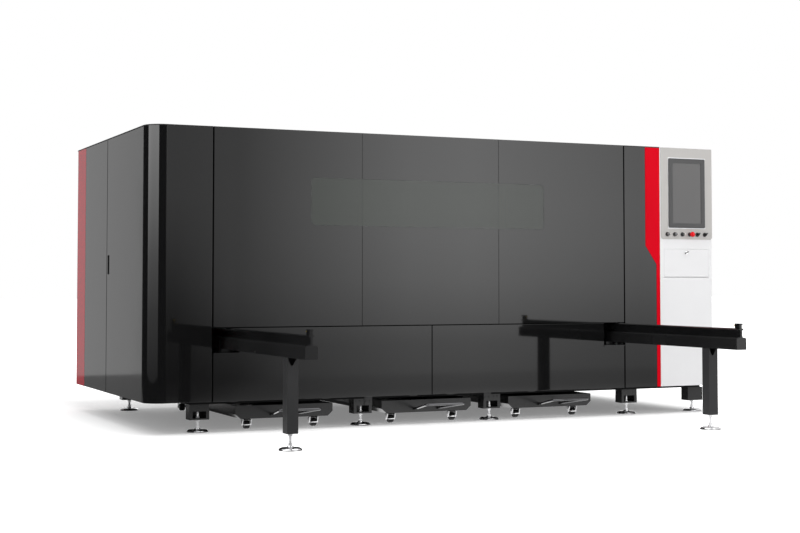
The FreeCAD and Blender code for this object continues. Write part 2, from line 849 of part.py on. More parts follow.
housing = console_profile(0.0, console_wrap).extrude(V(0, 0, enclosure_top - enclosure_bottom))
housing.translate(V(0, 0, enclosure_bottom))
hollow = console_profile(sheet, console_wrap + cut_over).extrude(V(0, 0,
                                                                   enclosure_top - enclosure_bottom - sheet))
hollow.translate(V(0, 0, enclosure_bottom - 0.0))
housing = housing.cut(hollow)
display_hole = (bezel_left + 6.0, bezel_right - 6.0, bezel_bottom + 6.0, bezel_top - 6.0)
plate_back = console_front
plate_face = plate_back - plate_thick
inner_face = console_front + sheet
housing = housing.cut(box(display_hole[0], display_hole[1], -1, inner_face + 1, display_hole[2],
                          display_hole[3]))
control_x = [control_first + control_pitch * i for i in range(control_count)]
recess = (flap_left - flap_seam, flap_right + flap_seam, flap_bottom - flap_hinge_gap, flap_top + flap_seam)
pin_z = flap_bottom + 3.5
pin_y = inner_face + knuckle_radius + 0.1
housing = housing.cut(box(recess[0], recess[1], -1, inner_face + 1, recess[2], recess[3]))
tray = box(recess[0] - sheet, recess[1] + sheet, inner_face, recess_depth + sheet, recess[2] - sheet,
           recess[3] + sheet)
tray = tray.cut(box(recess[0], recess[1], inner_face - 1, recess_depth, recess[2], recess[3]))
flange_left = box(console_left, console_left + sheet, console_front + 1.0, e_in, enclosure_bottom,
                  enclosure_top - 1.0)
flange_low = box(console_left, overall_length - console_round, console_front + 1.0, e_in,
                 enclosure_bottom, enclosure_bottom + sheet)
knuckles = []
for kx in (flap_left + 5.0, flap_right - 5.0 - knuckle_length):
    knuckle = flat_disc(knuckle_radius, V(kx, pin_y, pin_z), AXIS_X, knuckle_length, hinge_sides)
    arm = box(kx, kx + knuckle_length, pin_y + 1.0, recess_depth + 1.0, pin_z - 1.2, pin_z + 1.2)
    bore = flat_disc(pin_radius + pin_clearance, V(kx - 1, pin_y, pin_z), AXIS_X, knuckle_length + 2,
                     hinge_sides)
    knuckle = knuckle.fuse(arm).cut(bore)
    knuckles.append(knuckle)
housing = housing.fuse([tray, flange_left, flange_low] + knuckles)
piece("console_housing", housing.removeSplitter())

face = rounded_slab(plate_left, plate_right, plate_bottom, plate_top, plate_face, plate_back,
                    (plate_radius, plate_radius, 0.0, 0.0))
face = face.cut(box(display_hole[0], display_hole[1], -9, 9, display_hole[2], display_hole[3]))
piece("console_face_plate", face)

bezel_face = plate_face - bezel_proud
flange = rounded_slab(bezel_left, bezel_right, bezel_bottom, bezel_top, bezel_face, plate_face,
                      (bezel_radius,) * 4)
neck = box(display_hole[0] + 0.5, display_hole[1] - 0.5, plate_face, inner_face + 20.0,
           display_hole[2] + 0.5, display_hole[3] - 0.5)
screen_hole = box(bezel_left + bezel_side, bezel_right - bezel_side, -40, 40,
                  bezel_bottom + bezel_side, bezel_top - bezel_side)
piece("display_bezel", flange.fuse(neck).cut(screen_hole).removeSplitter())
glass_front = bezel_face + 3.0
piece("display_glass", box(bezel_left + bezel_side, bezel_right - bezel_side, glass_front,
                           inner_face + 12.0,
                           bezel_bottom + bezel_side, bezel_top - bezel_side))

collar_front = plate_face - collar_proud
collars = []
for x in control_x:
    ring = flat_disc(collar_radius, V(x, collar_front, control_z), AXIS_Y, collar_proud, knob_sides)
    bore = flat_disc(shaft_radius + pin_clearance, V(x, collar_front - 1, control_z), AXIS_Y,
                     collar_proud + 2, knob_sides)
    collars.append(ring.cut(bore))
piece("control_bezels", collars)

for name, x in (("push_button_left", control_x[0]), ("push_button_right", control_x[1])):
    cap_back = collar_front - button_travel - seat_gap
    shaft_end = plate_face - button_travel - seat_gap
    profile = [
        (0.0, cap_back - cap_height),
        (cap_radius, cap_back - cap_height),
        (cap_radius + 2.0, cap_back - cap_height + 2.0),
        (cap_radius + 2.0, cap_back),
        (shaft_radius, cap_back),
        (shaft_radius, shaft_end),
        (0.0, shaft_end),
    ]
    piece(name, turned(profile, V(x, 0, control_z), AXIS_Y, knob_sides))


def rotary_shaft(x):
    return cylinder(shaft_radius, V(x, collar_front - 1.0, control_z), AXIS_Y,
                    collar_proud + 1.0 - seat_gap)


x = control_x[2]
key_back = collar_front - seat_gap
key_body = flat_disc(cap_radius, V(x, key_back - 6.0, control_z), AXIS_Y, 6.0, knob_sides)
key_blade = box(x - 1.5, x + 1.5, key_back - 32.0, key_back - 5.5, control_z - 9.0, control_z + 9.0)
piece("key_switch", key_body.fuse([key_blade, rotary_shaft(x)]).removeSplitter())
x = control_x[3]
stop_front = collar_front - stop_reach
stop_end = plate_face - stop_travel - seat_gap
dome_profile = [
    (0.0, stop_front),
    (14.0, stop_front),
    (22.0, stop_front + 5.0),
    (23.5, stop_front + 12.0),
    (21.0, stop_front + 18.0),
    (12.0, stop_front + 22.0),
    (12.0, collar_front - stop_travel - seat_gap),
    (shaft_radius, collar_front - stop_travel - seat_gap),
    (shaft_radius, stop_end),
    (0.0, stop_end),
]
piece("emergency_stop", turned(dome_profile, V(x, 0, control_z), AXIS_Y, knob_sides))
for name, x in (("selector_left", control_x[4]), ("selector_right", control_x[5])):
    base = flat_disc(cap_radius + 2.0, V(x, key_back - 8.0, control_z), AXIS_Y, 8.0, knob_sides)
    lever = box(x - 5.0, x + 5.0, key_back - 24.0, key_back - 7.5, control_z - 14.0, control_z + 19.0)
    lever.rotate(V(x, 0, control_z), AXIS_Y, 40.0)
    piece(name, base.fuse([lever, rotary_shaft(x)]).removeSplitter())

flap = box(flap_left, flap_right, console_front, inner_face, flap_bottom, flap_top)
for x0 in (flap_left, flap_right - sheet):
    flap = flap.fuse(box(x0, x0 + sheet, inner_face, inner_face + flap_lip, flap_bottom + 6.0, flap_top))
barrel_in = 5.0 + knuckle_length + seat_gap
flap_width = flap_right - flap_left
hinge_tube = flat_disc(pin_y - inner_face + 0.1, V(flap_left + barrel_in, pin_y, pin_z), AXIS_X,
                       flap_width - 2.0 * barrel_in, hinge_sides)
hinge_pin = cylinder(pin_radius, V(flap_left + 6.0, pin_y, pin_z), AXIS_X, flap_width - 12.0)
flap = flap.fuse([hinge_tube, hinge_pin])
latch_x = (flap_left + flap_right) / 2.0
latch_z = flap_top - latch_from_top
latch_bore = latch_stem + seat_gap / 4.0
flap = flap.cut(cylinder(latch_bore, V(latch_x, -2, latch_z), AXIS_Y, 12.0))
piece("keyboard_flap", flap.removeSplitter())
key_face = inner_face + keyboard_thick
board = box(flap_left + board_side, flap_right - board_side, inner_face, key_face,
            flap_bottom + board_low, flap_top - board_high)
keys = []
for row in range(key_rows):
    kz = flap_bottom + board_low + key_margin + row * key_pitch
    keys.append(box(flap_left + board_side + key_margin, flap_right - board_side - key_margin,
                    key_face - 1.0, key_face + key_rise, kz, kz + key_size))
piece("keyboard", board.fuse(keys).removeSplitter())
latch = flat_disc(latch_radius, V(latch_x, console_front - latch_thick, latch_z), AXIS_Y, latch_thick, knob_sides)
latch = latch.fuse(cylinder(latch_stem, V(latch_x, console_front, latch_z), AXIS_Y, 10.0))
latch_grip = box(latch_x - latch_grip_half, latch_x + latch_grip_half, console_front - 3.0 * latch_thick,
                 console_front - latch_thick, latch_z - latch_thick, latch_z + latch_thick)
latch_cam = box(latch_x - latch_cam_half, latch_x + latch_cam_half, console_front + 8.0, console_front + 11.0,
                latch_z - latch_cam_half, latch_z + latch_cam_reach)
piece("flap_latch", latch.fuse([latch_grip, latch_cam]).removeSplitter())

# ================================================================ left side door
door_depth = pan_depth - seat_gap
sd_y0 = column_end + seam
sd_y1 = side_door_rear
leaf = left_pan(sd_y0, sd_y1, enclosure_bottom, panel_top, door_depth)
recess_y1 = sd_y1 - handle_from_edge
recess_y0 = recess_y1 - handle_recess
hz0 = handle_mid_z - handle_length / 2.0
hz1 = handle_mid_z + handle_length / 2.0
leaf = leaf.cut(box(-1, sheet + 1, recess_y0, recess_y1, hz0, hz1))
cup = box(0, handle_depth + sheet, recess_y0 - sheet, recess_y1 + sheet, hz0 - sheet, hz1 + sheet)
cup = cup.cut(box(-1, handle_depth, recess_y0, recess_y1, hz0, hz1))
cup = cup.cut(box(-1, sheet, recess_y0 - sheet - 1, recess_y1 + sheet + 1, hz0 - sheet - 1,
                  hz1 + sheet + 1))
barrels = []
fold = box(sheet / 2.0, pan_depth, sd_y0 + sheet / 2.0, sd_y0 + pan_depth, enclosure_bottom, panel_top)
for z in hinge_z:
    barrels.append(cylinder(hinge_barrel, V(sheet, sd_y0 + sheet, z), AXIS_Z, hinge_length).common(fold))
piece("side_door", leaf.fuse([cup] + barrels).removeSplitter())
grip_mid = (recess_y0 + recess_y1) / 2.0
grip_half = handle_width / 2.0
grip_pin_z = hz1 - grip_pin_drop
grip = box(grip_front, grip_back, grip_mid - grip_half, grip_mid + grip_half, hz0 + 3.0, grip_pin_z - 4.0)
grip = soften(grip, 1.5, lambda e: edge_on(e, "x", grip_front))
knuckle = cylinder(5.0, V(grip_pin_x, recess_y0 + 0.5, grip_pin_z), AXIS_Y, handle_recess - 1.0)
neck = box(grip_front + 1.0, grip_back, grip_mid - 12.0, grip_mid + 12.0, grip_pin_z - 6.0, grip_pin_z)
piece("side_door_handle", grip.fuse([knuckle, neck]).removeSplitter())

# ================================================================ table rail beams
def rounded_top_tube(x, y0, y1):
    w = beam_width / 2.0
    rr = beam_round
    z0 = beam_bottom
    z1 = beam_top

    def face(inset):
        ww = w - inset
        zz0 = z0 + inset
        zz1 = z1 - inset
        ri = rr - inset
        edges = [
            Part.LineSegment(V(x - ww, 0, zz0), V(x + ww, 0, zz0)).toShape(),
            Part.LineSegment(V(x + ww, 0, zz0), V(x + ww, 0, zz1 - ri)).toShape(),
            Part.Arc(V(x + ww, 0, zz1 - ri), V(x + ww - ri + ri * k45, 0, zz1 - ri + ri * k45),
                     V(x + ww - ri, 0, zz1)).toShape(),
            Part.LineSegment(V(x + ww - ri, 0, zz1), V(x - ww + ri, 0, zz1)).toShape(),
            Part.Arc(V(x - ww + ri, 0, zz1), V(x - ww + ri - ri * k45, 0, zz1 - ri + ri * k45),
                     V(x - ww, 0, zz1 - ri)).toShape(),
            Part.LineSegment(V(x - ww, 0, zz1 - ri), V(x - ww, 0, zz0)).toShape(),
        ]
        return Part.Face(Part.Wire(edges))

    outer = face(0.0).extrude(V(0, y1 - y0, 0))
    inner = face(tube_wall).extrude(V(0, y1 - y0 - 2.0 * tube_wall, 0))
    inner.translate(V(0, tube_wall, 0))
    tube = outer.cut(inner)
    tube.translate(V(0, y0, 0))
    return tube


def rail_solid(x, y0, y1):
    """Crowned running rail: broad foot, web and a lens-shaped head."""
    h = rail_head_width / 2.0
    wb = rail_web / 2.0
    ft = rail_web_foot / 2.0
    head_mid = (rail_head_bottom + rail_top) / 2.0
    right_side = [V(x + ft, 0, beam_top), V(x + ft, 0, beam_top + 5.0), V(x + wb, 0, beam_top + 12.0),
                  V(x + wb, 0, rail_head_bottom)]
    left_side = [V(2 * x - p.x, 0, p.z) for p in reversed(right_side)]
    edges = []
    for a, b in zip(right_side[:-1], right_side[1:]):
        edges.append(Part.LineSegment(a, b).toShape())
    tip = V(x + h, 0, head_mid)
    tip_left = V(x - h, 0, head_mid)
    edges.append(Part.Arc(right_side[-1], V(x + h * 0.72, 0, rail_head_bottom + 2.0), tip).toShape())
    edges.append(Part.Arc(tip, V(x, 0, rail_top), tip_left).toShape())
    edges.append(Part.Arc(tip_left, V(x - h * 0.72, 0, rail_head_bottom + 2.0), left_side[0]).toShape())
    for a, b in zip(left_side[:-1], left_side[1:]):
        edges.append(Part.LineSegment(a, b).toShape())
    edges.append(Part.LineSegment(left_side[-1], right_side[0]).toShape())
    rail = Part.Face(Part.Wire(edges)).extrude(V(0, y1 - y0, 0))
    rail.translate(V(0, y0, 0))
    return rail


piece("rail_beams", [rounded_top_tube(x, -beam_reach, beam_inner_end) for x in beam_x])
piece("table_rails", [rail_solid(x, -beam_reach, beam_inner_end) for x in beam_x])

legs = []
for x in beam_x:
    y0 = leg_y - leg_depth / 2.0
    y1 = leg_y + leg_depth / 2.0
    leg = box(x - leg_width / 2.0, x + leg_width / 2.0, y0, y1, leg_bottom, beam_bottom)
    leg = leg.cut(box(x - leg_width / 2.0 + leg_wall, x + leg_width / 2.0 - leg_wall, y0 + leg_wall,
                      y1 - leg_wall,
                      leg_bottom + 2.0 * leg_wall, beam_bottom + 1))
    tip = V(x - 6.0, 0, beam_bottom - leg_notch_depth)
    half = leg_notch_width / 2.0
    notch = prism(
        [
            (tip.x - half + 6.0, y0 - 1, beam_bottom + 1),
            (tip.x - half + 6.0, y0 - 1, beam_bottom - 14.0),
            (tip.x - 7.0, y0 - 1, tip.z),
            (tip.x + 5.0, y0 - 1, tip.z),
            (tip.x + half + 6.0, y0 - 1, beam_bottom + 1),
        ],
        V(0, leg_wall + 2.0, 0),
    )
    leg = leg.cut(notch)
    legs.append(leg)
piece("beam_legs", legs)

stops = []
stop_back = -beam_reach + stop_length
for x in beam_x:
    low = box(x - stop_width / 2.0 + 1.0, x + stop_width / 2.0 - 1.0, -beam_reach + 8.0, stop_back - 14.0,
              rail_top - 4.0, stop_top - stop_lip)
    cap = box(x - stop_width / 2.0, x + stop_width / 2.0, -beam_reach, stop_back, stop_top - stop_lip,
              stop_top)
    face_plate = box(x - stop_width / 2.0, x + stop_width / 2.0, stop_back - 6.0, stop_back,
                     rail_top - 1.0, stop_top - stop_lip)
    stop = low.fuse([cap, face_plate]).cut(parts["table_rails"][beam_x.index(x)])
    bump = flat_disc(bumper_radius, V(x, stop_back, (rail_top + stop_top) / 2.0 + 2.0), AXIS_Y,
                     bumper_length, pin_sides)
    stops.append(stop.fuse(bump).removeSplitter())
piece("rail_stops", stops)

brackets = []
bracket_mid = bracket_front + bracket_length / 2.0
for x in beam_x:
    bx = x - beam_width / 2.0
    brackets.append(box(bx - bracket_plate, bx, bracket_front, bracket_front + bracket_length,
                        beam_bottom - 62.0, beam_top - beam_round - 6.0))
    for z in (beam_bottom - 40.0, beam_bottom + 10.0, beam_bottom + 52.0):
        brackets.append(flat_disc(bolt_radius, V(bx - bracket_plate - bolt_head, bracket_mid, z), AXIS_X,
                                  bolt_head, 6))
piece("beam_brackets", brackets)

# ================================================================ worktable
tube_top = table_tube_bottom + table_tube
side_inner = [beam_x[0] + table_side_gap, beam_x[1] - table_side_gap - table_tube]
table_members = []
for x0 in side_inner:
    table_members.append(tube_along("y", x0, x0 + table_tube, table_front, table_back, table_tube_bottom,
                                    tube_top, 4.0))
span_left = side_inner[0] + table_tube
span_right = side_inner[1]
table_mid = (table_front + table_back) / 2.0
for y0 in (table_front, table_mid - table_tube / 2.0, table_back - table_tube):
    table_members.append(tube_along("x", span_left, span_right, y0, y0 + table_tube, table_tube_bottom,
                                    tube_top, 4.0))
slat_pitch = (span_right - span_left - 60.0) / (slat_count - 1)
slat_x = [span_left + 30.0 + slat_pitch * i for i in range(slat_count)]
slat_bottom = slat_top - slat_height
for y0 in (table_front + 12.0, table_mid - comb_thick / 2.0, table_back - 12.0 - comb_thick):
    comb = box(side_inner[0], side_inner[1] + table_tube, y0, y0 + comb_thick, tube_top, comb_top)
    slots = [box(x - slat_thick / 2.0 - seat_gap, x + slat_thick / 2.0 + seat_gap, y0 - 1,
                 y0 + comb_thick + 1,
                 slat_bottom - seat_gap, comb_top + 1) for x in slat_x]
    table_members.append(comb.cut(slots))
for x, side in ((beam_x[0], 1), (beam_x[1], -1)):
    x0 = min(x - side * 15.0, x + side * table_side_gap)
    x1 = max(x - side * 15.0, x + side * table_side_gap)
    table_members.append(box(x0, x1, table_front, table_front + 10.0, rail_top + 4.0,
                             table_tube_bottom + 16.0))
piece("worktable_frame", table_members)

slat_y0 = table_front + 4.0
slat_y1 = table_back - 4.0
teeth = int((slat_y1 - slat_y0 - 24.0) / tooth_pitch)
margin = (slat_y1 - slat_y0 - teeth * tooth_pitch) / 2.0
outline = [(slat_y0, slat_bottom), (slat_y1, slat_bottom), (slat_y1, slat_top - tooth_depth)]
for i in reversed(range(teeth)):
    base = slat_y0 + margin + i * tooth_pitch
    outline.append((base + tooth_pitch, slat_top - tooth_depth))
    outline.append((base + tooth_pitch / 2.0, slat_top))
outline.append((slat_y0 + margin, slat_top - tooth_depth))
outline.append((slat_y0, slat_top - tooth_depth))
slats = []
for x in slat_x:
    slats.append(prism([(x - slat_thick / 2.0, y, z) for y, z in outline], V(slat_thick, 0, 0)))
piece("worktable_slats", slats)

axle_z = rail_top + wheel_radius + seat_gap / 3.0
wheels = []
half_wheel = wheel_width / 2.0
for x, side in ((beam_x[0], 1), (beam_x[1], -1)):
    axle_low = x - wheel_nub if side > 0 else x - table_side_gap
    axle_high = x + table_side_gap if side > 0 else x + wheel_nub
    profile = [
        (0.0, axle_low),
        (axle_radius, axle_low),
        (axle_radius, x - half_wheel - flange_thick),
        (flange_radius, x - half_wheel - flange_thick),
        (flange_radius, x - half_wheel),
        (wheel_radius, x - half_wheel),
        (wheel_radius, x + half_wheel),
        (flange_radius, x + half_wheel),
        (flange_radius, x + half_wheel + flange_thick),
        (axle_radius, x + half_wheel + flange_thick),
        (axle_radius, axle_high),
        (0.0, axle_high),
    ]
    for y in wheel_y:
        wheels.append(turned(profile, V(0, y, axle_z), AXIS_X, wheel_sides))
piece("table_wheels", wheels)

# ================================================================ gantry
gx0 = gantry_rest_x - gantry_width / 2.0
gx1 = gantry_rest_x + gantry_width / 2.0
gz0 = rail_top_z + gantry_foot
gz1 = gz0 + gantry_height
gy0 = frame_front
gy1 = frame_back
beam = tube_along("y", gx0, gx1, gy0, gy1, gz0, gz1, gantry_wall)
caps = [box(gx0, gx1, gy0 - gantry_wall, gy0, gz0, gz1), box(gx0, gx1, gy1, gy1 + gantry_wall, gz0, gz1)]
solids = [beam] + caps
for y0 in (frame_front, rear_tube_front):
    mid = y0 + half_tube
    for x in (gx0 + runner_in, gx1 - runner_in):
        runner = box(x - runner_half, x + runner_half, mid - runner_width / 2.0, mid + runner_width / 2.0,
                     runway_top + runner_lift, gz0)
        groove = box(x - runner_half - 1.0, x + runner_half + 1.0, mid - rail_half - seat_gap,
                     mid + rail_half + seat_gap, runway_top, rail_top_z + seat_gap)
        solids.append(runner.cut(groove))
track_z = [gz0 + track_edge, gz1 - track_edge - track_height]
for z in track_z:
    solids.append(box(gx0 - cross_rail, gx0, gy0 + track_start, gy1 - track_end, z, z + track_height))
for y0, y1 in ((front_tube_back + rack_depth + run_gap, front_tube_back + rack_depth + drive_width),
               (rear_tube_front - rack_depth - drive_width, rear_tube_front - rack_depth - run_gap)):
    solids.append(box(gx1 - drive_width, gx1, y0, y1, gz0 - drive_drop, gz0))
    motor_foot = V(gx1 + motor_radius + 3.0, (y0 + y1) / 2.0, gz0 - drive_drop / 2.0)
    solids.append(flat_disc(motor_radius, motor_foot, AXIS_Z, motor_length, knob_sides))
    solids.append(box(gx1 - 10.0, gx1 + drive_width, y0, y1, motor_foot.z - 8.0, motor_foot.z + 4.0))
piece("gantry_beam", solids[0].fuse(solids[1:]).removeSplitter())

cx1 = gx0 - cross_rail - seat_gap
cx0 = cx1 - carriage_thick
cy0 = carriage_rest_y - carriage_width / 2.0
cy1 = carriage_rest_y + carriage_width / 2.0
cz0, cz1 = gz0 + carriage_edge, gz1 - carriage_edge
carriage = box(cx0, cx1, cy0, cy1, cz0, cz1)
for y in (carriage_rest_y - z_rail_spread, carriage_rest_y + z_rail_spread - z_rail_width):
    carriage = carriage.fuse(box(cx0 - z_rail, cx0, y, y + z_rail_width, cz0, cz1))
motor_seat = box(cx0, cx1, carriage_rest_y - lift_motor_radius - 2.0, carriage_rest_y + lift_motor_radius + 2.0,
                 cz1 - 1.0, gz1 + lift_motor_radius + 2.0)
carriage = carriage.fuse(motor_seat)
lift_motor = flat_disc(lift_motor_radius, V(cx1 + 4.0, carriage_rest_y, gz1 + 8.0), AXIS_Z,
                       lift_motor_length, knob_sides)
carriage = carriage.fuse(lift_motor)
piece("head_carriage", carriage.removeSplitter())

zx1 = cx0 - z_rail - seat_gap
zx0 = zx1 - z_plate_thick
head_half = head_width / 2.0
z_plate = box(zx0, zx1, carriage_rest_y - head_half, carriage_rest_y + head_half, gz0 - z_plate_drop, gz1 + 10.0)
head_x = zx0 - head_from_plate
head_low = gz0 - head_below_beam
neck_z = head_low + head_cap
body = box(head_x - head_from_plate, zx0, carriage_rest_y - head_body_half, carriage_rest_y + head_body_half,
           neck_z, gz0 + head_cap)
body = soften(body, 6.0, lambda e: edge_on(e, "x", head_x - head_from_plate))
cone_profile = [
    (0.0, nozzle_tip),
    (3.0, nozzle_tip),
    (11.0, nozzle_tip + 14.0),
    (11.0, nozzle_tip + 20.0),
    (22.0, nozzle_tip + 24.0),
    (26.0, nozzle_tip + 60.0),
    (36.0, nozzle_tip + 66.0),
    (36.0, neck_z),
    (0.0, neck_z),
]
cone = turned(cone_profile, V(head_x, carriage_rest_y, 0), AXIS_Z, knob_sides)
top_cap = flat_disc(24.0, V(head_x, carriage_rest_y, gz0 + 60.0), AXIS_Z, 70.0, knob_sides)
piece("cutting_head", z_plate.fuse([body, cone, top_cap]).removeSplitter())

# ================================================================ lifting front door
skin_pitch = (door_right - door_left) / skin_count
window_cut = rounded_slab(window_left, window_right, window_bottom, window_top, -5.0, pan_depth + 5.0,
                          (window_radius,) * 4)
skins = []
for i in range(skin_count):
    x0 = door_left + skin_pitch * i + skin_seam / 2.0
    x1 = door_left + skin_pitch * (i + 1) - skin_seam / 2.0
    pan = front_pan(x0, x1, door_bottom, enclosure_top, pan_depth - seat_gap)
    skins += pan.cut(window_cut).Solids
piece("front_door_skins", skins)

panes = []
pane = rounded_slab(window_left + seat_gap, window_right - seat_gap, window_bottom + seat_gap,
                    window_top - seat_gap,
                    1.0, 1.0 + pane_thickness, (window_radius - seat_gap,) * 4)
backing_y = 1.0 + pane_thickness
for i in range(skin_count):
    x0 = door_left + skin_pitch * i + skin_seam / 2.0
    x1 = door_left + skin_pitch * (i + 1) - skin_seam / 2.0
    panes.append(pane.common(box(x0, x1, -1, 20, window_bottom - 1, window_top + 1)))
piece("window_panes", panes)

dft = door_frame_tube
df_y0 = pan_depth
df_y1 = pan_depth + dft
df_left = door_left + run_gap
df_right = door_right - run_gap
df_low = door_bottom + sheet
df_high = enclosure_top - sheet
door_bars = []


def dbar(axis, x0, x1, z0, z1):
    door_bars.append(tube_along(axis, x0, x1, df_y0, df_y1, z0, z1, sheet))


dbar("x", df_left, df_right, df_low, df_low + dft)
dbar("x", df_left, df_right, df_high - dft, df_high)
uprights = [df_left, door_left + skin_pitch - dft / 2.0, door_left + 2.0 * skin_pitch - dft / 2.0,
            df_right - dft]
for x in uprights:
    dbar("z", x, x + dft, df_low + dft, df_high - dft)
for a, b in zip(uprights[:-1], uprights[1:]):
    dbar("x", a + dft, b, window_bottom - dft - 4.0, window_bottom - 4.0)
    dbar("x", a + dft, b, window_top + 4.0, window_top + dft + 4.0)
ring_outer = box(window_left - 12.0, window_right + 12.0, backing_y + seat_gap, df_y0, window_bottom - 12.0,
                 window_top + 12.0)
ring_lap = 6.0
cx0, cx1 = window_left + ring_lap, window_right - ring_lap
cz0, cz1 = window_bottom + ring_lap, window_top - ring_lap
cut_corner = (window_radius - ring_lap) * 0.6
ring_inner = prism(
    [
        (cx0 + cut_corner, -1.0, cz0), (cx1 - cut_corner, -1.0, cz0), (cx1, -1.0, cz0 + cut_corner),
        (cx1, -1.0, cz1 - cut_corner), (cx1 - cut_corner, -1.0, cz1), (cx0 + cut_corner, -1.0, cz1),
        (cx0, -1.0, cz1 - cut_corner), (cx0, -1.0, cz0 + cut_corner),
    ],
    V(0, 50.0, 0),
)
ring = ring_outer.cut(ring_inner)
for x in uprights[1:3]:
    ring = ring.fuse(box(x + dft / 2.0 - 8.0, x + dft / 2.0 + 8.0, backing_y + seat_gap, df_y0,
                         window_bottom, window_top))
skin_all = Part.makeCompound(skins)
ring = ring.cut(skin_all)
low_strip = box(window_left - 13.0, window_right + 13.0, -1.0, df_y0, window_bottom - 13.0,
                window_bottom + window_radius)
high_strip = box(window_left - 13.0, window_right + 13.0, -1.0, df_y0, window_top - window_radius,
                 window_top + 13.0)
ring_parts = ring.common(low_strip).Solids + ring.common(high_strip).Solids + ring.cut([low_strip,
                                                                                        high_strip]).Solids
piece("front_door_frame", door_bars + ring_parts)

guide_y0 = df_y0 + 10.0
guide_y1 = guide_y0 + guide_size
guide_low = low_z1
guide_high = high_z0
left_guide = (door_left - seam - guide_size, door_left - seam)
right_guide = (door_right + seam, door_right + seam + guide_size)
guides = []
carriages = []
for (x0, x1), side in ((left_guide, -1), (right_guide, 1)):
    guides.append(box(x0, x1, guide_y0, guide_y1, guide_low, guide_high))
    c0 = x0 - run_gap - cylinder_size if side < 0 else x1 + run_gap
    barrel = box(c0, c0 + cylinder_size, df_y0 + 6.0, df_y0 + 6.0 + cylinder_size, guide_low, guide_high)
    guides.append(barrel)
    inner = df_left if side < 0 else df_right
    for z in carriage_block_z:
        bx0 = x0 - run_gap + seat_gap if side < 0 else inner
        bx1 = inner if side < 0 else x1 + run_gap - seat_gap
        block = box(bx0, bx1, df_y0 + 4.0, df_y1, z, z + carriage_block_height)
        block = block.cut(box(x0 - seat_gap, x1 + seat_gap, guide_y0 - seat_gap, guide_y1 + seat_gap, z - 1,
                              z + carriage_block_height + 1))
        carriages.append(block)
piece("door_lift_guides", guides)
piece("door_carriages", carriages)


# ================================================================ slag trolleys
def tray_outline(x, inset, z_high):
    half = trolley_width / 2.0 - inset
    low = trolley_bottom + inset
    return [
        (x - half, z_high),
        (x - half, trolley_bottom + trolley_chamfer_up),
        (x - half + trolley_chamfer_in, low),
        (x + half - trolley_chamfer_in, low),
        (x + half, trolley_bottom + trolley_chamfer_up),
        (x + half, z_high),
    ]


def castor(x, y):
    """Wheel on its axle in a folded fork under the tray."""
    half = castor_fork_width / 2.0
    wall = castor_fork_wall
    fork_low = castor_wheel_radius - castor_fork_drop
    y0 = y - castor_fork_length / 2.0
    fork = prism(
        [
            (x - half, y0, fork_low), (x - half, y0, trolley_bottom), (x + half, y0, trolley_bottom),
            (x + half, y0, fork_low), (x + half - wall, y0, fork_low), (x + half - wall, y0,
                                                                        trolley_bottom - wall),
            (x - half + wall, y0, trolley_bottom - wall), (x - half + wall, y0, fork_low),
        ],
        V(0, castor_fork_length, 0),
    )
    half_tread = castor_wheel_width / 2.0
    wheel = flat_disc(castor_wheel_radius, V(x - half_tread, y, castor_wheel_radius), AXIS_X,
                      castor_wheel_width, wheel_sides)
    axle = flat_disc(castor_axle, V(x - half, y, castor_wheel_radius), AXIS_X, castor_fork_width, 6)
    return wheel.fuse([fork, axle]).removeSplitter()


bar_y = trolley_front - bail_reach
pivot_y = trolley_front - lug_pivot_in
bail_bore = bail_pin / math.cos(math.pi / pin_sides) + pin_clearance
names = ("left", "centre", "right")
for name, x in zip(names, trolley_x):
    outer = prism([(px, trolley_front, pz) for px, pz in tray_outline(x, 0.0, trolley_top)],
                  V(0, trolley_back - trolley_front, 0))
    inner = prism([(px, trolley_front + sheet, pz) for px, pz in tray_outline(x, sheet, trolley_top + 1.0)],
                  V(0, trolley_back - trolley_front - 2.0 * sheet, 0))
    tray = outer.cut(inner)
    lugs = []
    for side in (-1, 1):
        for off in (-lug_spread, lug_spread):
            lx = x + side * bail_root_half + off
            lug = box(lx - lug_thick / 2.0, lx + lug_thick / 2.0, trolley_front - 2.0 * lug_half, trolley_front,
                      bail_root_z - lug_half, bail_root_z + lug_half)
            bore = flat_disc(bail_bore, V(lx - 4, pivot_y, bail_root_z), AXIS_X, 8.0, pin_sides)
            lugs.append(lug.cut(bore))
    tray = tray.fuse(lugs).removeSplitter()
    piece("slag_trolley_" + name, tray)

    arms = []
    for side in (-1, 1):
        a = V(x + side * bail_half, bar_y, bail_bar_z)
        b = V(x + side * bail_root_half, pivot_y, bail_root_z)
        reach = (b - a).normalize()
        sideways = reach.cross(AXIS_Z).normalize() * (bail_arm / 2.0)
        upward = sideways.cross(reach).normalize() * (bail_arm / 2.0)
        corners = [a + sideways + upward, a + sideways - upward, a - sideways - upward,
                   a - sideways + upward]
        arms.append(prism([(c.x, c.y, c.z) for c in corners], b - a))
        if side < 0:
            arms.append(cylinder(bail_pin, V(b.x - bail_pin_half, pivot_y, bail_root_z), AXIS_X,
                                 bail_pin_half))
            arms.append(flat_disc(bail_pin, b, AXIS_X, bail_pin_half, pin_sides))
        else:
            arms.append(flat_disc(bail_pin, b - AXIS_X * bail_pin_half, AXIS_X, 2.0 * bail_pin_half,
                                  pin_sides))
    handle = flat_disc(bail_bar_radius, V(x - bail_half - bail_arm / 2.0, bar_y, bail_bar_z), AXIS_X,
                       2.0 * bail_half + bail_arm, pin_sides)
    piece("trolley_handle_" + name, handle.fuse(arms).removeSplitter())

    castors = []
    for cx in (x - castor_spread / 2.0, x + castor_spread / 2.0):
        for cy in (trolley_front + castor_inset, trolley_back - castor_inset):
            castors.append(castor(cx, cy))
    piece("trolley_castors_" + name, castors)

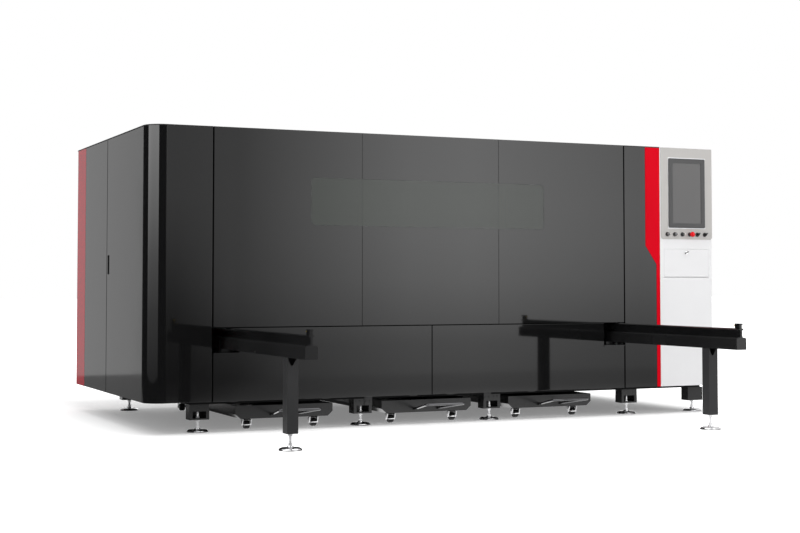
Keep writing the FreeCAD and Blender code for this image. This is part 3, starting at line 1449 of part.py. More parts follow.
# ================================================================ export
os.makedirs("parts", exist_ok=True)
for name, solids in parts.items():
    shape = solids[0] if len(solids) == 1 else Part.makeCompound(solids)
    shape.translate(origin_shift)
    shape.exportStep("parts/%s.step" % name)
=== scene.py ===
import bpy
import bmesh
import json
import math
from mathutils import Matrix, Vector


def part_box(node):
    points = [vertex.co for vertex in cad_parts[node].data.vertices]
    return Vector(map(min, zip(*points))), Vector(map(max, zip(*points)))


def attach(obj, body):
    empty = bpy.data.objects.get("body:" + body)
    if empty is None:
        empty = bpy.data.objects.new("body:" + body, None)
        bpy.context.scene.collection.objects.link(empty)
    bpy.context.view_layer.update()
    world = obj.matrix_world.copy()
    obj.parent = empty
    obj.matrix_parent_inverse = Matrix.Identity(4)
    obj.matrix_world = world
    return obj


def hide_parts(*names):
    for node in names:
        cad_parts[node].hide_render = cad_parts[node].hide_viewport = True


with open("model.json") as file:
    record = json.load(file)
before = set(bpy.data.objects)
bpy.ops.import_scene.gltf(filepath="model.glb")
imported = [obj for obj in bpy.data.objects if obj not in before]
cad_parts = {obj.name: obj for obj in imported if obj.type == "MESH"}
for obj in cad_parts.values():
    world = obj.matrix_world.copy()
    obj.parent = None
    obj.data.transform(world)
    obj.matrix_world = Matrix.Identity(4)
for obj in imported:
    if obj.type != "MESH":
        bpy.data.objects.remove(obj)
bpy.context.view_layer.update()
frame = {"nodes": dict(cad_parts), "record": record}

NODES = frame["nodes"]
# Shapes are written in machine millimetres, from the left side, the front face and the floor.
# The frame is in metres, with its origin at MX, MY.
MM = 1000.0
MX = 2.2945
MY = 0.3515
ORIGIN = {"X": MX, "Y": MY, "Z": 0.0}

# ------------------------------------------------------------------ material tools
WHITE = (1, 1, 1, 1)
MATT_BLACK = (0.004, 0.004, 0.004, 1.0)
NOISE_SPAN = (0.3, 0.7)                      # where nearly all values of a noise texture lie
MIX_SOCKETS = {"FLOAT": (2, 3, 0), "RGBA": (6, 7, 2)}    # first and second input, and output
PAINT_DRIFT = {"scale": 1.7, "detail": 2.0, "seed": 3.1}
PAINT_GLOSS = {"scale": 2.3, "detail": 4.0, "seed": 8.0}
PAINT_DEPTH, METAL_DEPTH, PLASTIC_DEPTH = 0.001, 0.0006, 0.0004      # height of the bump, in metres


def blank_material(name):
    m = bpy.data.materials.new(name)
    m.use_nodes = True
    nt = m.node_tree
    nt.nodes.clear()
    return m, nt, nt.nodes.new("ShaderNodeOutputMaterial")


def new_material(name):
    m, nt, out = blank_material(name)
    b = nt.nodes.new("ShaderNodeBsdfPrincipled")
    nt.links.new(b.outputs[0], out.inputs[0])
    return m, nt, b


def plug(nt, value, socket):
    """Link an output to a socket, or set the socket to a plain value."""
    if isinstance(value, bpy.types.NodeSocket):
        nt.links.new(value, socket)
    else:
        socket.default_value = value


def feed(socket):
    """What a socket takes now: the output linked to it, or its own value."""
    return socket.links[0].from_socket if socket.links else socket.default_value


def calc(nt, operation, *values):
    n = nt.nodes.new("ShaderNodeMath")
    n.operation = operation
    for socket, value in zip(n.inputs, values):
        plug(nt, value, socket)
    return n.outputs[0]


def mix(nt, kind, factor, a, b):
    """a where the factor is 0 and b where it is 1. kind is FLOAT or RGBA."""
    n = nt.nodes.new("ShaderNodeMix")
    n.data_type = kind
    first, second, result = MIX_SOCKETS[kind]
    for value, index in ((factor, 0), (a, first), (b, second)):
        plug(nt, value, n.inputs[index])
    return n.outputs[result]


def xyz(nt, vector):
    n = nt.nodes.new("ShaderNodeSeparateXYZ")
    nt.links.new(vector, n.inputs[0])
    return n.outputs


def noise(nt, scale, detail=3.0, stretch=(1, 1, 1), seed=0.0):
    tc = nt.nodes.new("ShaderNodeTexCoord")
    mp = nt.nodes.new("ShaderNodeMapping")
    mp.inputs["Scale"].default_value = stretch
    mp.inputs["Location"].default_value = (seed, seed * 0.7, seed * 0.3)
    n = nt.nodes.new("ShaderNodeTexNoise")
    n.inputs["Scale"].default_value = scale
    n.inputs["Detail"].default_value = detail
    nt.links.new(tc.outputs["Object"], mp.inputs[0])
    nt.links.new(mp.outputs[0], n.inputs["Vector"])
    return n.outputs["Fac"]


def remap(nt, value, low, high, span=NOISE_SPAN):
    """Straight ramp from low to high while the value crosses the span."""
    r = nt.nodes.new("ShaderNodeMapRange")
    r.inputs["From Min"].default_value = span[0]
    r.inputs["From Max"].default_value = span[1]
    r.inputs["To Min"].default_value = low
    r.inputs["To Max"].default_value = high
    nt.links.new(value, r.inputs["Value"])
    return r.outputs[0]


def tone(nt, value, dark, light):
    r = nt.nodes.new("ShaderNodeValToRGB")
    for element, position, colour in zip(r.color_ramp.elements, NOISE_SPAN, (dark, light)):
        element.position = position
        element.color = (*colour, 1)
    nt.links.new(value, r.inputs[0])
    return r.outputs[0]


def scaled(colour, factor):
    return tuple(min(1.0, v * factor) for v in colour)


def surface(nt, b, colour, rough):
    nt.links.new(colour, b.inputs["Base Color"])
    nt.links.new(rough, b.inputs["Roughness"])


def bump(nt, b, value, strength, distance):
    n = nt.nodes.new("ShaderNodeBump")
    n.inputs["Strength"].default_value = strength
    n.inputs["Distance"].default_value = distance
    nt.links.new(value, n.inputs["Height"])
    nt.links.new(n.outputs[0], b.inputs["Normal"])


def paint(name, colour, rough, peel, grain, spread=0.05, spec=0.5, uneven=1.0):
    """Sprayed coat: slow colour drift, uneven gloss and orange peel or powder grain."""
    m, nt, b = new_material(name)
    drift = noise(nt, **PAINT_DRIFT)
    gloss = noise(nt, **PAINT_GLOSS)
    surface(nt, b, tone(nt, drift, scaled(colour, 1.0 - spread), scaled(colour, 1.0 + spread)),
            remap(nt, gloss, rough * (1.0 - 0.15 * uneven), rough * (1.0 + 0.2 * uneven)))
    b.inputs["Specular IOR Level"].default_value = spec
    bump(nt, b, noise(nt, grain, 2.0, seed=1.0), peel, PAINT_DEPTH)
    return m


def metal(name, colour, rough, stretch=(1, 1, 1), grain=120.0, depth=0.05, spread=0.12, metallic=1.0):
    """Bare or plated metal with a directional grain and uneven polish."""
    m, nt, b = new_material(name)
    g = noise(nt, grain, 3.0, stretch)
    surface(nt, b, tone(nt, g, scaled(colour, 1.0 - spread), scaled(colour, 1.0 + spread * 0.5)),
            remap(nt, g, rough * 0.75, rough * 1.35))
    b.inputs["Metallic"].default_value = metallic
    bump(nt, b, g, depth, METAL_DEPTH)
    return m


def plastic(name, colour, rough, peel=0.12, grain=900.0, spread=0.08, spec=0.5):
    """Moulded plastic or rubber with a fine texture."""
    m, nt, b = new_material(name)
    g = noise(nt, grain, 2.0)
    surface(nt, b, tone(nt, noise(nt, 9.0, 2.0), scaled(colour, 1 - spread), scaled(colour, 1 + spread)),
            remap(nt, g, rough * 0.85, rough * 1.15))
    b.inputs["Specular IOR Level"].default_value = spec
    bump(nt, b, g, peel, PLASTIC_DEPTH)
    return m


def side_paint(name):
    return paint(name, (0.010, 0.010, 0.0103), 0.07, peel=0.02, grain=320.0)


def glass_screen():
    """Unlit display behind smooth glass."""
    m, nt, b = new_material("unlit_display")
    surface(nt, b, tone(nt, noise(nt, 1.3, 1.0), (0.082, 0.080, 0.080), (0.092, 0.090, 0.090)),
            remap(nt, noise(nt, 30.0, 2.0), 0.10, 0.14))
    return m


def glazing():
    """Green laser glazing: mirror-smooth, nearly opaque from outside, with a dark green body."""
    m, nt, b = new_material("green_laser_glazing")
    surface(nt, b, tone(nt, noise(nt, 1.1, 1.0), (0.028, 0.034, 0.028), (0.031, 0.038, 0.031)),
            remap(nt, noise(nt, 3.0, 2.0), 0.03, 0.05))
    b.inputs["Alpha"].default_value = 0.82
    return m


# ------------------------------------------------------------------ materials
M = {
    # sprayed and powder-coated sheet
    "panel_gloss": paint("gloss_dark_panel", (0.006, 0.006, 0.0062), 0.045, peel=0.006, grain=260.0),
    "column_gloss": paint("gloss_black_column", (0.006, 0.006, 0.0063), 0.03, peel=0.004, grain=260.0),
    "side_grey": side_paint("gloss_dark_side"),
    "side_door_paint": side_paint("gloss_dark_side_door"),
    "side_panel_paint": side_paint("gloss_dark_side_panel"),
    "frame_paint": paint("black_powder_coat", (0.014, 0.014, 0.0144), 0.24, peel=0.05, grain=700.0,
                         spread=0.15, spec=0.4),
    "leg_satin": paint("satin_black_legs", (0.037, 0.037, 0.038), 0.34, peel=0.05, grain=700.0,
                       spread=0.1, spec=0.12),
    # The frame tubes are black. This darker, duller copy of the frame paint also stands in for the shade they
    # sit in under the panels, as painted shade.
    "tube_black_shade": paint("black_tubes_with_painted_shade", (0.005, 0.005, 0.0052), 0.5, peel=0.05, grain=700.0,
                        spread=0.15, spec=0.08),
    "handle_black": paint("matt_black_handle", (0.006, 0.006, 0.0062), 0.6, peel=0.1, grain=600.0, spec=0.06),
    "roof_satin": paint("satin_black_roof", (0.012, 0.012, 0.0125), 0.5, peel=0.12, grain=420.0,
                        spread=0.03, spec=0.3, uneven=0.15),
    "trim_red": paint("gloss_red_trim", (0.70, 0.001, 0.012), 0.2, peel=0.01, grain=260.0, spec=0.02),
    "rear_red": paint("gloss_red_side", (0.46, 0.002, 0.019), 0.08, peel=0.02, grain=320.0, spec=0.18),
    "console_white": paint("satin_white_console", (0.80, 0.80, 0.81), 0.38, peel=0.06, grain=520.0,
                           spread=0.012),
    "face_grey": paint("warm_grey_face", (0.505, 0.49, 0.474), 0.5, peel=0.10, grain=600.0,
                       spread=0.02, spec=0.25),
    "table_rail_black": paint("blackened_rail", (0.009, 0.009, 0.0095), 0.2, peel=0.03, grain=300.0,
                              spread=0.2),
    "gantry_paint": paint("grey_casting_paint", (0.30, 0.31, 0.33), 0.36, peel=0.15, grain=400.0),
    "motor_black": paint("motor_enamel", (0.02, 0.02, 0.021), 0.3, peel=0.08, grain=500.0),
    # plastic, rubber and glass
    "stop_red": paint("red_stop_plastic", (0.80, 0.002, 0.008), 0.2, peel=0.02, grain=900.0, spec=0.2),
    "bezel_dark": plastic("textured_bezel", (0.042, 0.042, 0.043), 0.5),
    "control_black": plastic("black_control_plastic", (0.006, 0.006, 0.0065), 0.14, peel=0.03),
    "keyboard_black": plastic("keyboard_plastic", (0.02, 0.02, 0.021), 0.5),
    "key_caps": plastic("key_caps", (0.035, 0.035, 0.037), 0.42, grain=500.0),
    "castor": plastic("castor_rubber", (0.008, 0.008, 0.0083), 0.5, spec=0.2),
    "buffer_yellow": plastic("yellow_buffer", (0.62, 0.42, 0.02), 0.45),
    "screen_glass": glass_screen(),
    "window_tint": glazing(),
    # bare and plated metal
    "key_metal": metal("nickel_key", (0.72, 0.71, 0.69), 0.2, grain=700.0, depth=0.01, spread=0.05),
    "zinc": metal("bright_zinc", (0.86, 0.86, 0.87), 0.30, grain=60.0, metallic=0.72),
    "chrome": metal("polished_chrome", (0.80, 0.80, 0.81), 0.07, grain=30.0, depth=0.01, spread=0.05),
    "foot_chrome": metal("foot_chrome", (0.66, 0.66, 0.67), 0.12, grain=30.0, depth=0.01, spread=0.05),
    "bail_steel": metal("plated_bail_steel", (0.085, 0.085, 0.088), 0.1, grain=30.0, depth=0.01, spread=0.05),
    # Grey metal for the button caps and collar rings: partly their own finish, and partly a painted
    # highlight, lighter than the black plastic so that it stands in for the glint on the black buttons.
    "cap_metal_glint": metal("button_cap_metal_and_glint", (0.13, 0.13, 0.132), 0.24, grain=600.0, depth=0.01, spread=0.05),
    "nozzle_copper": metal("turned_copper", (0.78, 0.38, 0.22), 0.2),
    "slat_steel": metal("mill_scale_slats", (0.30, 0.30, 0.31), 0.42, (1, 1, 6), grain=40.0, spread=0.35),
    "rail_steel": metal("ground_rail_steel", (0.55, 0.56, 0.58), 0.25, (1, 12, 12), grain=50.0,
                        depth=0.015, spread=0.05),
    "wheel_steel": metal("turned_wheel_steel", (0.42, 0.42, 0.43), 0.3, (14, 1, 1), grain=60.0,
                         depth=0.02, spread=0.06),
    "head_alu": metal("anodised_head", (0.72, 0.73, 0.75), 0.34, (1, 1, 12), grain=110.0,
                      depth=0.012, spread=0.04),
    "cylinder_alu": metal("anodised_guide", (0.62, 0.63, 0.65), 0.34, (14, 14, 1), grain=45.0,
                          depth=0.015, spread=0.05),
}


def black_out(m, zone):
    """Matt black with no gloss, inside {axis: (low, high)} in millimetres: painted shade along the panel
    seams, and a dark patch around the side door's handle.
    """
    nt = m.node_tree
    b = nt.nodes["Principled BSDF"]
    place = xyz(nt, nt.nodes.new("ShaderNodeTexCoord").outputs["Object"])
    inside = None
    for axis, (low, high) in zone.items():
        half = (high - low) / (2.0 * MM)
        within = calc(nt, "COMPARE", place[axis], low / MM + half - ORIGIN[axis], half)
        inside = within if inside is None else calc(nt, "MULTIPLY", inside, within)
    for name, kind, black in (("Base Color", "RGBA", MATT_BLACK), ("Specular IOR Level", "FLOAT", 0.0)):
        socket = b.inputs[name]
        plug(nt, mix(nt, kind, inside, feed(socket), black), socket)


def seam(middle, before, after):
    return middle - before, middle + after


SIDE_SEAM_Y = 1165.0
HANDLE_PATCH = {"Y": (1087.0, 1141.0), "Z": (1082.0, 1222.0)}
FRONT_ENDS_X = (455.0, 3755.0)               # the seams at the ends of the front panels
MIDDLE_SEAM_X = 2105.0
SILL_Z = 713.0                               # the seam between the door and the panels under it
# Painted shade: matt black bands along the side seam stand in for the shadow in the gap between the door and
# the panel. The door also gets a matt black patch around its handle.
black_out(M["side_door_paint"], {"Y": seam(SIDE_SEAM_Y, 5.0, 5.0)})
black_out(M["side_door_paint"], HANDLE_PATCH)
black_out(M["side_panel_paint"], {"Y": seam(SIDE_SEAM_Y, 5.0, 9.0)})
# Painted shade: matt black bands along the front seams stand in for the shadow in the gaps between the
# panels.
for seam_x in FRONT_ENDS_X:
    black_out(M["panel_gloss"], {"X": seam(seam_x, 5.5, 5.5)})
black_out(M["panel_gloss"], {"X": seam(MIDDLE_SEAM_X, 4.0, 4.0), "Z": (0.0, SILL_Z)})
black_out(M["panel_gloss"], {"Z": seam(SILL_Z, 4.0, 4.0), "X": FRONT_ENDS_X})

# Nodes whose finish differs from the rest of their slot.
OWN_FINISH = {
    "rear_left_trim": "rear_red",
    "roof_panel": "roof_satin",
    "side_door": "side_door_paint",
    "left_side_panel": "side_panel_paint",
    "side_door_handle": "handle_black",
    "beam_legs": "leg_satin",
    # The frame tubes take the darker copy of the frame paint, painted shade for the band under the panels.
    "frame_long_tubes": "tube_black_shade",
    "frame_cross_tubes": "tube_black_shade",
}
for sp in frame["record"]["subparts"]:
    ob = NODES[sp["node"]]
    ob.data.materials.clear()
    ob.data.materials.append(M[OWN_FINISH.get(sp["node"], sp["material_slot"])])

# ------------------------------------------------------------------ shape tools
AXES = {"x": Vector((1, 0, 0)), "y": Vector((0, 1, 0)), "z": Vector((0, 0, 1))}
SMOOTH_ANGLE = math.radians(32.0)            # edges sharper than this stay sharp
HEX_FACE, HEX_CHAMFER = 0.88, 0.13           # a nut's flat face and its chamfer, by its radius


def in_scene(name, data):
    """New object in the scene's collection."""
    ob = bpy.data.objects.new(name, data)
    bpy.context.scene.collection.objects.link(ob)
    return ob


def circle(centre, u, w, radius, segments):
    """Points of a circle in the plane of u and w."""
    turns = [2.0 * math.pi * i / segments for i in range(segments)]
    return [centre + (u * math.cos(t) + w * math.sin(t)) * radius for t in turns]


def side_faces(part, low, high):
    """Quads between two closed rings of as many points."""
    for i in range(len(low)):
        j = (i + 1) % len(low)
        part.faces.new((low[i], low[j], high[j], high[i]))


def facing(profile, way):
    """A lathe profile whose distances run towards +1 or -1."""
    return [(radius, way * distance) for radius, distance in profile]


def about_z(points, x, y):
    """Points or corners written about an upright axis at x, y."""
    return [(x + dx, y + dy, z) for dx, dy, z in points]


def about_y(points, x, z):
    """Points or corners written about a level axis at x, z, as a control on the front has."""
    return [(x + dx, y, z + dz) for dx, y, dz in points]


class Form:
    """Gathers the faces of one piece in machine millimetres, each with the number of its material."""

    def __init__(self, *materials):
        self.bm = bmesh.new()
        self.materials = materials

    def take(self, part, mat):
        for f in part.faces:
            f.material_index = mat
        bmesh.ops.recalc_face_normals(part, faces=part.faces)
        me = bpy.data.meshes.new("part")
        part.to_mesh(me)
        part.free()
        self.bm.from_mesh(me)
        bpy.data.meshes.remove(me)

    def lathe(self, profile, centre, axis, segments, mat=0):
        """Turned form. The profile holds (radius, distance along the axis)."""
        part = bmesh.new()
        a = AXES[axis] if isinstance(axis, str) else Vector(axis).normalized()
        u = a.orthogonal().normalized()
        w = a.cross(u)
        c = Vector(centre)
        rings = []
        for radius, distance in profile:
            if radius < 1e-6:
                rings.append([part.verts.new(c + a * distance)])
                continue
            rings.append([part.verts.new(p) for p in circle(c + a * distance, u, w, radius, segments)])
        for low, high in zip(rings, rings[1:]):
            if len(low) == len(high):
                side_faces(part, low, high)
                continue
            for i in range(segments):
                j = (i + 1) % segments
                if len(low) == 1:
                    part.faces.new((low[0], high[i], high[j]))
                else:
                    part.faces.new((low[i], low[j], high[0]))
        self.take(part, mat)

    def block(self, low, high, mat=0, edge=0.0, steps=2, turn=None):
        """Box with rounded edges. turn is (centre, axis, degrees)."""
        part = bmesh.new()
        size = [h - l for l, h in zip(low, high)]
        mid = [(h + l) / 2.0 for l, h in zip(low, high)]
        bmesh.ops.create_cube(part, size=1.0, matrix=Matrix.Translation(mid) @ Matrix.Diagonal((*size, 1.0)))
        self.finish_solid(part, mat, edge, steps, turn)

    def prism(self, outline, push, mat=0, edge=0.0, steps=2, turn=None):
        """Flat outline pushed along a vector, with rounded edges."""
        part = bmesh.new()
        base = [part.verts.new(p) for p in outline]
        top = [part.verts.new(Vector(p) + Vector(push)) for p in outline]
        part.faces.new(base)
        part.faces.new(list(reversed(top)))
        side_faces(part, base, top)
        self.finish_solid(part, mat, edge, steps, turn)

    def finish_solid(self, part, mat, edge, steps, turn):
        if edge:
            bmesh.ops.bevel(part, geom=list(part.edges), offset=edge, segments=steps, profile=0.5,
                            affect="EDGES")
        if turn:
            centre, axis, degrees = turn
            spin = Matrix.Rotation(math.radians(degrees), 3, AXES[axis])
            bmesh.ops.rotate(part, cent=Vector(centre), matrix=spin, verts=part.verts)
        self.take(part, mat)

    def hexagon(self, radius, start, axis, length, mat=0):
        """Hexagonal nut or bolt head with its corners turned down."""
        sign = 1.0 if length > 0 else -1.0
        turn_down = radius * HEX_CHAMFER * sign
        face = radius * HEX_FACE
        profile = [(0.0, 0.0), (face, 0.0), (radius, turn_down), (radius, length - turn_down), (face, length),
                   (0.0, length)]
        self.lathe(profile, start, axis, 6, mat)

    def sweep(self, points, radius, segments, mat=0):
        """Round bar along a line of points, with flat ends."""
        part = bmesh.new()
        pts = [Vector(p) for p in points]
        rings = []
        side = None
        for i, p in enumerate(pts):
            before = (p - pts[i - 1]).normalized() if i else (pts[1] - p).normalized()
            after = (pts[i + 1] - p).normalized() if i + 1 < len(pts) else before
            along = (before + after).normalized()
            if side is None:
                side = along.orthogonal().normalized()
            side = (side - along * side.dot(along)).normalized()
            other = along.cross(side)
            rings.append([part.verts.new(q) for q in circle(p, side, other, radius, segments)])
        for low, high in zip(rings, rings[1:]):
            side_faces(part, low, high)
        part.faces.new(rings[0])
        part.faces.new(rings[-1])
        self.take(part, mat)

    def piece(self, name, body, replaces=()):
        """The finished piece, in the frame's metres, on its body and in its slot."""
        bmesh.ops.translate(self.bm, vec=(-MX * MM, -MY * MM, 0.0), verts=self.bm.verts)
        bmesh.ops.scale(self.bm, vec=(1.0 / MM, 1.0 / MM, 1.0 / MM), verts=self.bm.verts)
        me = bpy.data.meshes.new(name)
        self.bm.to_mesh(me)
        self.bm.free()
        for m in self.materials:
            me.materials.append(m)
        me.shade_smooth()
        me.set_sharp_from_angle(angle=SMOOTH_ANGLE)
        ob = in_scene(name, me)
        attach(ob, body)
        if replaces:
            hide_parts(*replaces)


def rounded_path(corners, radius, steps=8):
    """Points along straight runs whose corners are rounded."""
    pts = [Vector(corners[0])]
    for before, corner, after in zip(corners, corners[1:], corners[2:]):
        c = Vector(corner)
        a = (Vector(before) - c).normalized()
        b = (Vector(after) - c).normalized()
        half = a.angle(b) / 2.0
        cut = radius / math.tan(half)
        centre = c + (a + b).normalized() * (radius / math.sin(half))
        start = c + a * cut - centre
        end = c + b * cut - centre
        for i in range(steps + 1):
            t = i / steps
            pts.append(centre + (start * (1 - t) + end * t).normalized() * radius)
    pts.append(Vector(corners[-1]))
    return pts


def mm(node):
    """Lowest and highest corner of a node in machine millimetres."""
    low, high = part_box(node)
    shift = Vector((MX, MY, 0.0))
    return (Vector(low) + shift) * MM, (Vector(high) + shift) * MM


# ------------------------------------------------------------------ levelling feet
FOOT_X = (398.0, 1608.0, 2653.0, 3867.0, 4489.0)
FOOT_Y = (157.0, 2050.0)
BEAM_X = (593.0, 3702.0)
LEG_Y = -1150.0
BASE_CARRIER_Z, LEG_CARRIER_Z = 85.0, 102.0
THREAD_PITCH = 3.0
THREAD_START = 32.0
THREAD_END = 14.0                            # below the carrier
STUD_R, ROOT_R = 8.9, 7.6
CARRIER_NUT_DROP = 15.0
RUBBER_PROFILE = ((0, 0), (71.5, 0), (73.5, 1.2), (73.5, 3.2), (72.5, 4), (0, 4))
DISH_PROFILE = ((0, 4), (72.5, 4), (73, 5), (71, 9), (66, 13.5), (60, 16.5), (53, 18), (30, 18.4), (24, 19.5),
                (19, 22.5), (17, 27), (0, 28))
STUD_FOOT_PROFILE = ((0, 27), (13, 27), (13, 30), (8, 31))
STUD_TOP_PROFILE = ((0, 94.0), (STUD_R, 94.0), (STUD_R, 150.0), (8.0, 151.5), (0, 151.5))


def foot(form, x, y, carrier):
    """Rubber, dish, threaded stud and nuts under a carrier. On the base, the stud stands out above it too."""
    form.lathe(RUBBER_PROFILE, (x, y, 0), "z", 64, 1)
    form.lathe(DISH_PROFILE, (x, y, 0), "z", 64, 2)
    thread_top = carrier - THREAD_END
    stud = list(STUD_FOOT_PROFILE)
    z = THREAD_START
    while z + THREAD_PITCH < thread_top:
        stud += [(STUD_R, z), (STUD_R, z + 0.9), (ROOT_R, z + 1.5), (ROOT_R, z + 2.4)]
        z += THREAD_PITCH
    stud += [(STUD_R, thread_top), (STUD_R, carrier), (0, carrier)]
    form.lathe(stud, (x, y, 0), "z", 48, 0)
    form.hexagon(15.0, (x, y, carrier - CARRIER_NUT_DROP), "z", 14.5)
    form.hexagon(13.5, (x, y, 33.0), "z", 11.0)
    if carrier == BASE_CARRIER_Z:
        form.hexagon(14.0, (x, y, 95.2), "z", 11.0)
        form.lathe(STUD_TOP_PROFILE, (x, y, 0), "z", 32, 0)


feet = Form(M["zinc"], M["castor"], M["foot_chrome"])
for fy in FOOT_Y:
    for fx in FOOT_X:
        foot(feet, fx, fy, BASE_CARRIER_Z)
for fx in BEAM_X:
    foot(feet, fx, LEG_Y, LEG_CARRIER_Z)
feet.piece("levelling_feet_turned", "machine", ["levelling_feet"])

# ------------------------------------------------------------------ slag trolleys
TROLLEYS = {"left": 1024.0, "centre": 2128.0, "right": 3168.0}
CASTOR_OUT = 250.0                           # from the trolley's middle, in x
CASTOR_Y = (235.0, 1847.0)
WHEEL_Z = 29.0
WHEEL_PROFILE = ((6, -19), (11, -19), (12, -17.5), (22, -17), (24, -19), (26.5, -18), (28.6, -14), (29, -8),
                 (29, 8), (28.6, 14), (26.5, 18), (24, 19), (22, 17), (12, 17.5), (11, 19), (6, 19))
HUB_PROFILE = ((6, -19), (4.2, -19), (4.2, 19), (6, 19))
AXLE_PROFILE = ((0, -30), (4, -30), (4, 30), (0, 30))
SWIVEL_PROFILE = ((0, 73.5), (24, 73.5), (25, 71), (24, 66.5), (0, 66.5))
TOP_PLATE = ((-31, -34, 73.5), (31, 34, 77))
FORK_CROWN = ((-27.5, -22, 61), (27.5, 22, 67))
FORK_OUTLINE = ((-22, 67), (22, 67), (17, 44), (8, 23), (-8, 23), (-17, 44))
FORK_OUT, FORK_T = 33.0, 6.0                 # outer face, from the castor's middle, and thickness
PEDAL_Z, PEDAL_HALF, PEDAL_OUT, PEDAL_T = 26.5, 20.0, 34.0, 3.5
ARM_T = 3.0
BAIL_R = 8.6
BAIL_CORNER_R = 16.0
BAIL_Y, BAIL_Z, BAIL_HALF = -175.0, 155.0, 150.0
PIVOT_Y, PIVOT_Z, PIVOT_HALF = 127.0, 104.0, 95.0
BAIL_EYE_PROFILE = ((0, -7), (BAIL_R, -7), (9.2, -6), (9.2, 6), (BAIL_R, 7), (0, 7))
BAIL_PIN_PROFILE = ((0, -13), (4, -13), (4, 13), (0, 13))


def castor(forks, wheels, x, y):
    """Swivel castor: top plate, fork, axle and brake pedal in one form, and the wheel in the other."""
    front = -1.0 if y == CASTOR_Y[0] else 1.0
    forks.block(*about_z(TOP_PLATE, x, y), 1, 1.0)
    forks.lathe(SWIVEL_PROFILE, (x, y, 0), "z", 32, 1)
    forks.block(*about_z(FORK_CROWN, x, y), 1, 1.8)
    for side in (-1.0, 1.0):
        x0 = x + side * FORK_OUT - (FORK_T if side > 0 else 0.0)
        forks.prism([(x0, y + dy, z) for dy, z in FORK_OUTLINE], (FORK_T, 0, 0), edge=1.6, steps=3)
        forks.hexagon(8.0, (x + side * 32.5, y, 31.0), "x", side * 3.5)
    forks.lathe(AXLE_PROFILE, (x, y, WHEEL_Z), "x", 16)
    tab_y = sorted((y + front * (PEDAL_OUT - PEDAL_T), y + front * PEDAL_OUT))
    forks.block((x - PEDAL_HALF, tab_y[0], PEDAL_Z), (x + PEDAL_HALF, tab_y[1], 33.0), edge=1.0)
    arm_y = sorted((y, y + front * PEDAL_OUT))
    for arm_x in (x - PEDAL_HALF - ARM_T, x + PEDAL_HALF):
        forks.block((arm_x, arm_y[0], PEDAL_Z), (arm_x + ARM_T, arm_y[1], 32.5), edge=0.8)
    wheels.lathe(WHEEL_PROFILE, (x, y, WHEEL_Z), "x", 48)
    wheels.lathe(HUB_PROFILE, (x, y, WHEEL_Z), "x", 24)


for side, tx in TROLLEYS.items():
    body = "trolley_" + side
    forks = Form(M["zinc"], M["castor"])
    wheels = Form(M["castor"])
    for cx in (tx - CASTOR_OUT, tx + CASTOR_OUT):
        for cy in CASTOR_Y:
            castor(forks, wheels, cx, cy)
    forks.piece("castor_forks_" + side, body, ["trolley_castors_" + side])
    wheels.piece("castor_wheels_" + side, body, ["trolley_castors_" + side])

    bail = Form(M["bail_steel"])
    run = [(tx - PIVOT_HALF, PIVOT_Y, PIVOT_Z), (tx - BAIL_HALF, BAIL_Y, BAIL_Z),
           (tx + BAIL_HALF, BAIL_Y, BAIL_Z), (tx + PIVOT_HALF, PIVOT_Y, PIVOT_Z)]
    bail.sweep(rounded_path(run, BAIL_CORNER_R), BAIL_R, 24)
    for px in (tx - PIVOT_HALF, tx + PIVOT_HALF):
        bail.lathe(BAIL_EYE_PROFILE, (px, PIVOT_Y, PIVOT_Z), "x", 24)
        bail.lathe(BAIL_PIN_PROFILE, (px, PIVOT_Y, PIVOT_Z), "x", 20)
    bail.piece("trolley_bail_" + side, "bail_" + side, ["trolley_handle_" + side])

# ------------------------------------------------------------------ controls
CONTROL_Z = 1402.0
CONTROL_X = [4155.0 + 71.0 * i for i in range(6)]
COLLAR_PROFILE = ((8.2, -2), (17, -2), (17, -4.5), (16.2, -6.2), (14.6, -7), (14.2, -8.5))
COLLAR_RING_PROFILE = ((14.2, -8.5), (14.2, -10.6), (13.6, -11), (13.0, -10.6), (13.0, -6.8), (8.2, -6.8),
                       (8.2, -2))
CAP_PROFILE = ((0, -27.3), (6, -27.0), (9.5, -26.0), (11.6, -24.2), (12.4, -21.8), (12.4, -11.5),
               (11.9, -11.0), (7.4, -11.0), (7.4, -6.6), (0, -6.6))
MUSHROOM_PROFILE = ((0, -55), (6.2, -54.7), (12, -53.2), (17, -50.2), (20, -46), (21, -41), (20.4, -37),
                    (18, -34.6), (14, -33.6), (12.5, -32.5))
NECK_PROFILE = ((12.5, -32.5), (12.5, -28), (11.2, -26.5), (11.2, -20), (0, -20))
STEM_PROFILE = ((0, -20), (12.2, -20), (12.4, -19), (12.4, -12.5), (11.9, -12.0), (7.4, -12.0), (7.4, -7.6),
                (0, -7.6))
LOCK_PROFILE = ((0, -17), (8.6, -17), (9.4, -16.2), (9.4, -12.5), (12.4, -12), (12.4, -9), (0, -9))
KEY_BOW_OUTLINE = ((-28, -5), (-31, -10.5), (-39, -11.6), (-43, -7), (-43, 7), (-39, 11.6), (-31, 10.5),
                   (-28, 5))
KEY_HALF_T = 1.1
KEY_BLADE = ((-KEY_HALF_T, -28.0, -3.4), (KEY_HALF_T, -16.5, 3.4))
KNOB_PROFILE = ((0, -17.5), (10.8, -17.3), (12.0, -16.2), (12.4, -14.5), (12.4, -9), (0, -9))
KNOB_GRIP = ((-4.2, -34.8, -12.5), (4.2, -16.5, 17.0))
KNOB_MARK = ((-0.7, -35.1, 4.0), (0.7, -34.2, 15.0))
KNOB_TURN = 40.0
BARREL_PROFILE = ((0, 12), (7.2, 12), (7.2, 1.8), (13.6, 1.8), (14, 1.1), (13.4, -0.6), (11.6, -2), (0, -2))
LATCH_WING = ((-19, -2, -3.2), (-19, -9.5, -2.4), (19, -9.5, -2.4), (19, -2, -3.2))
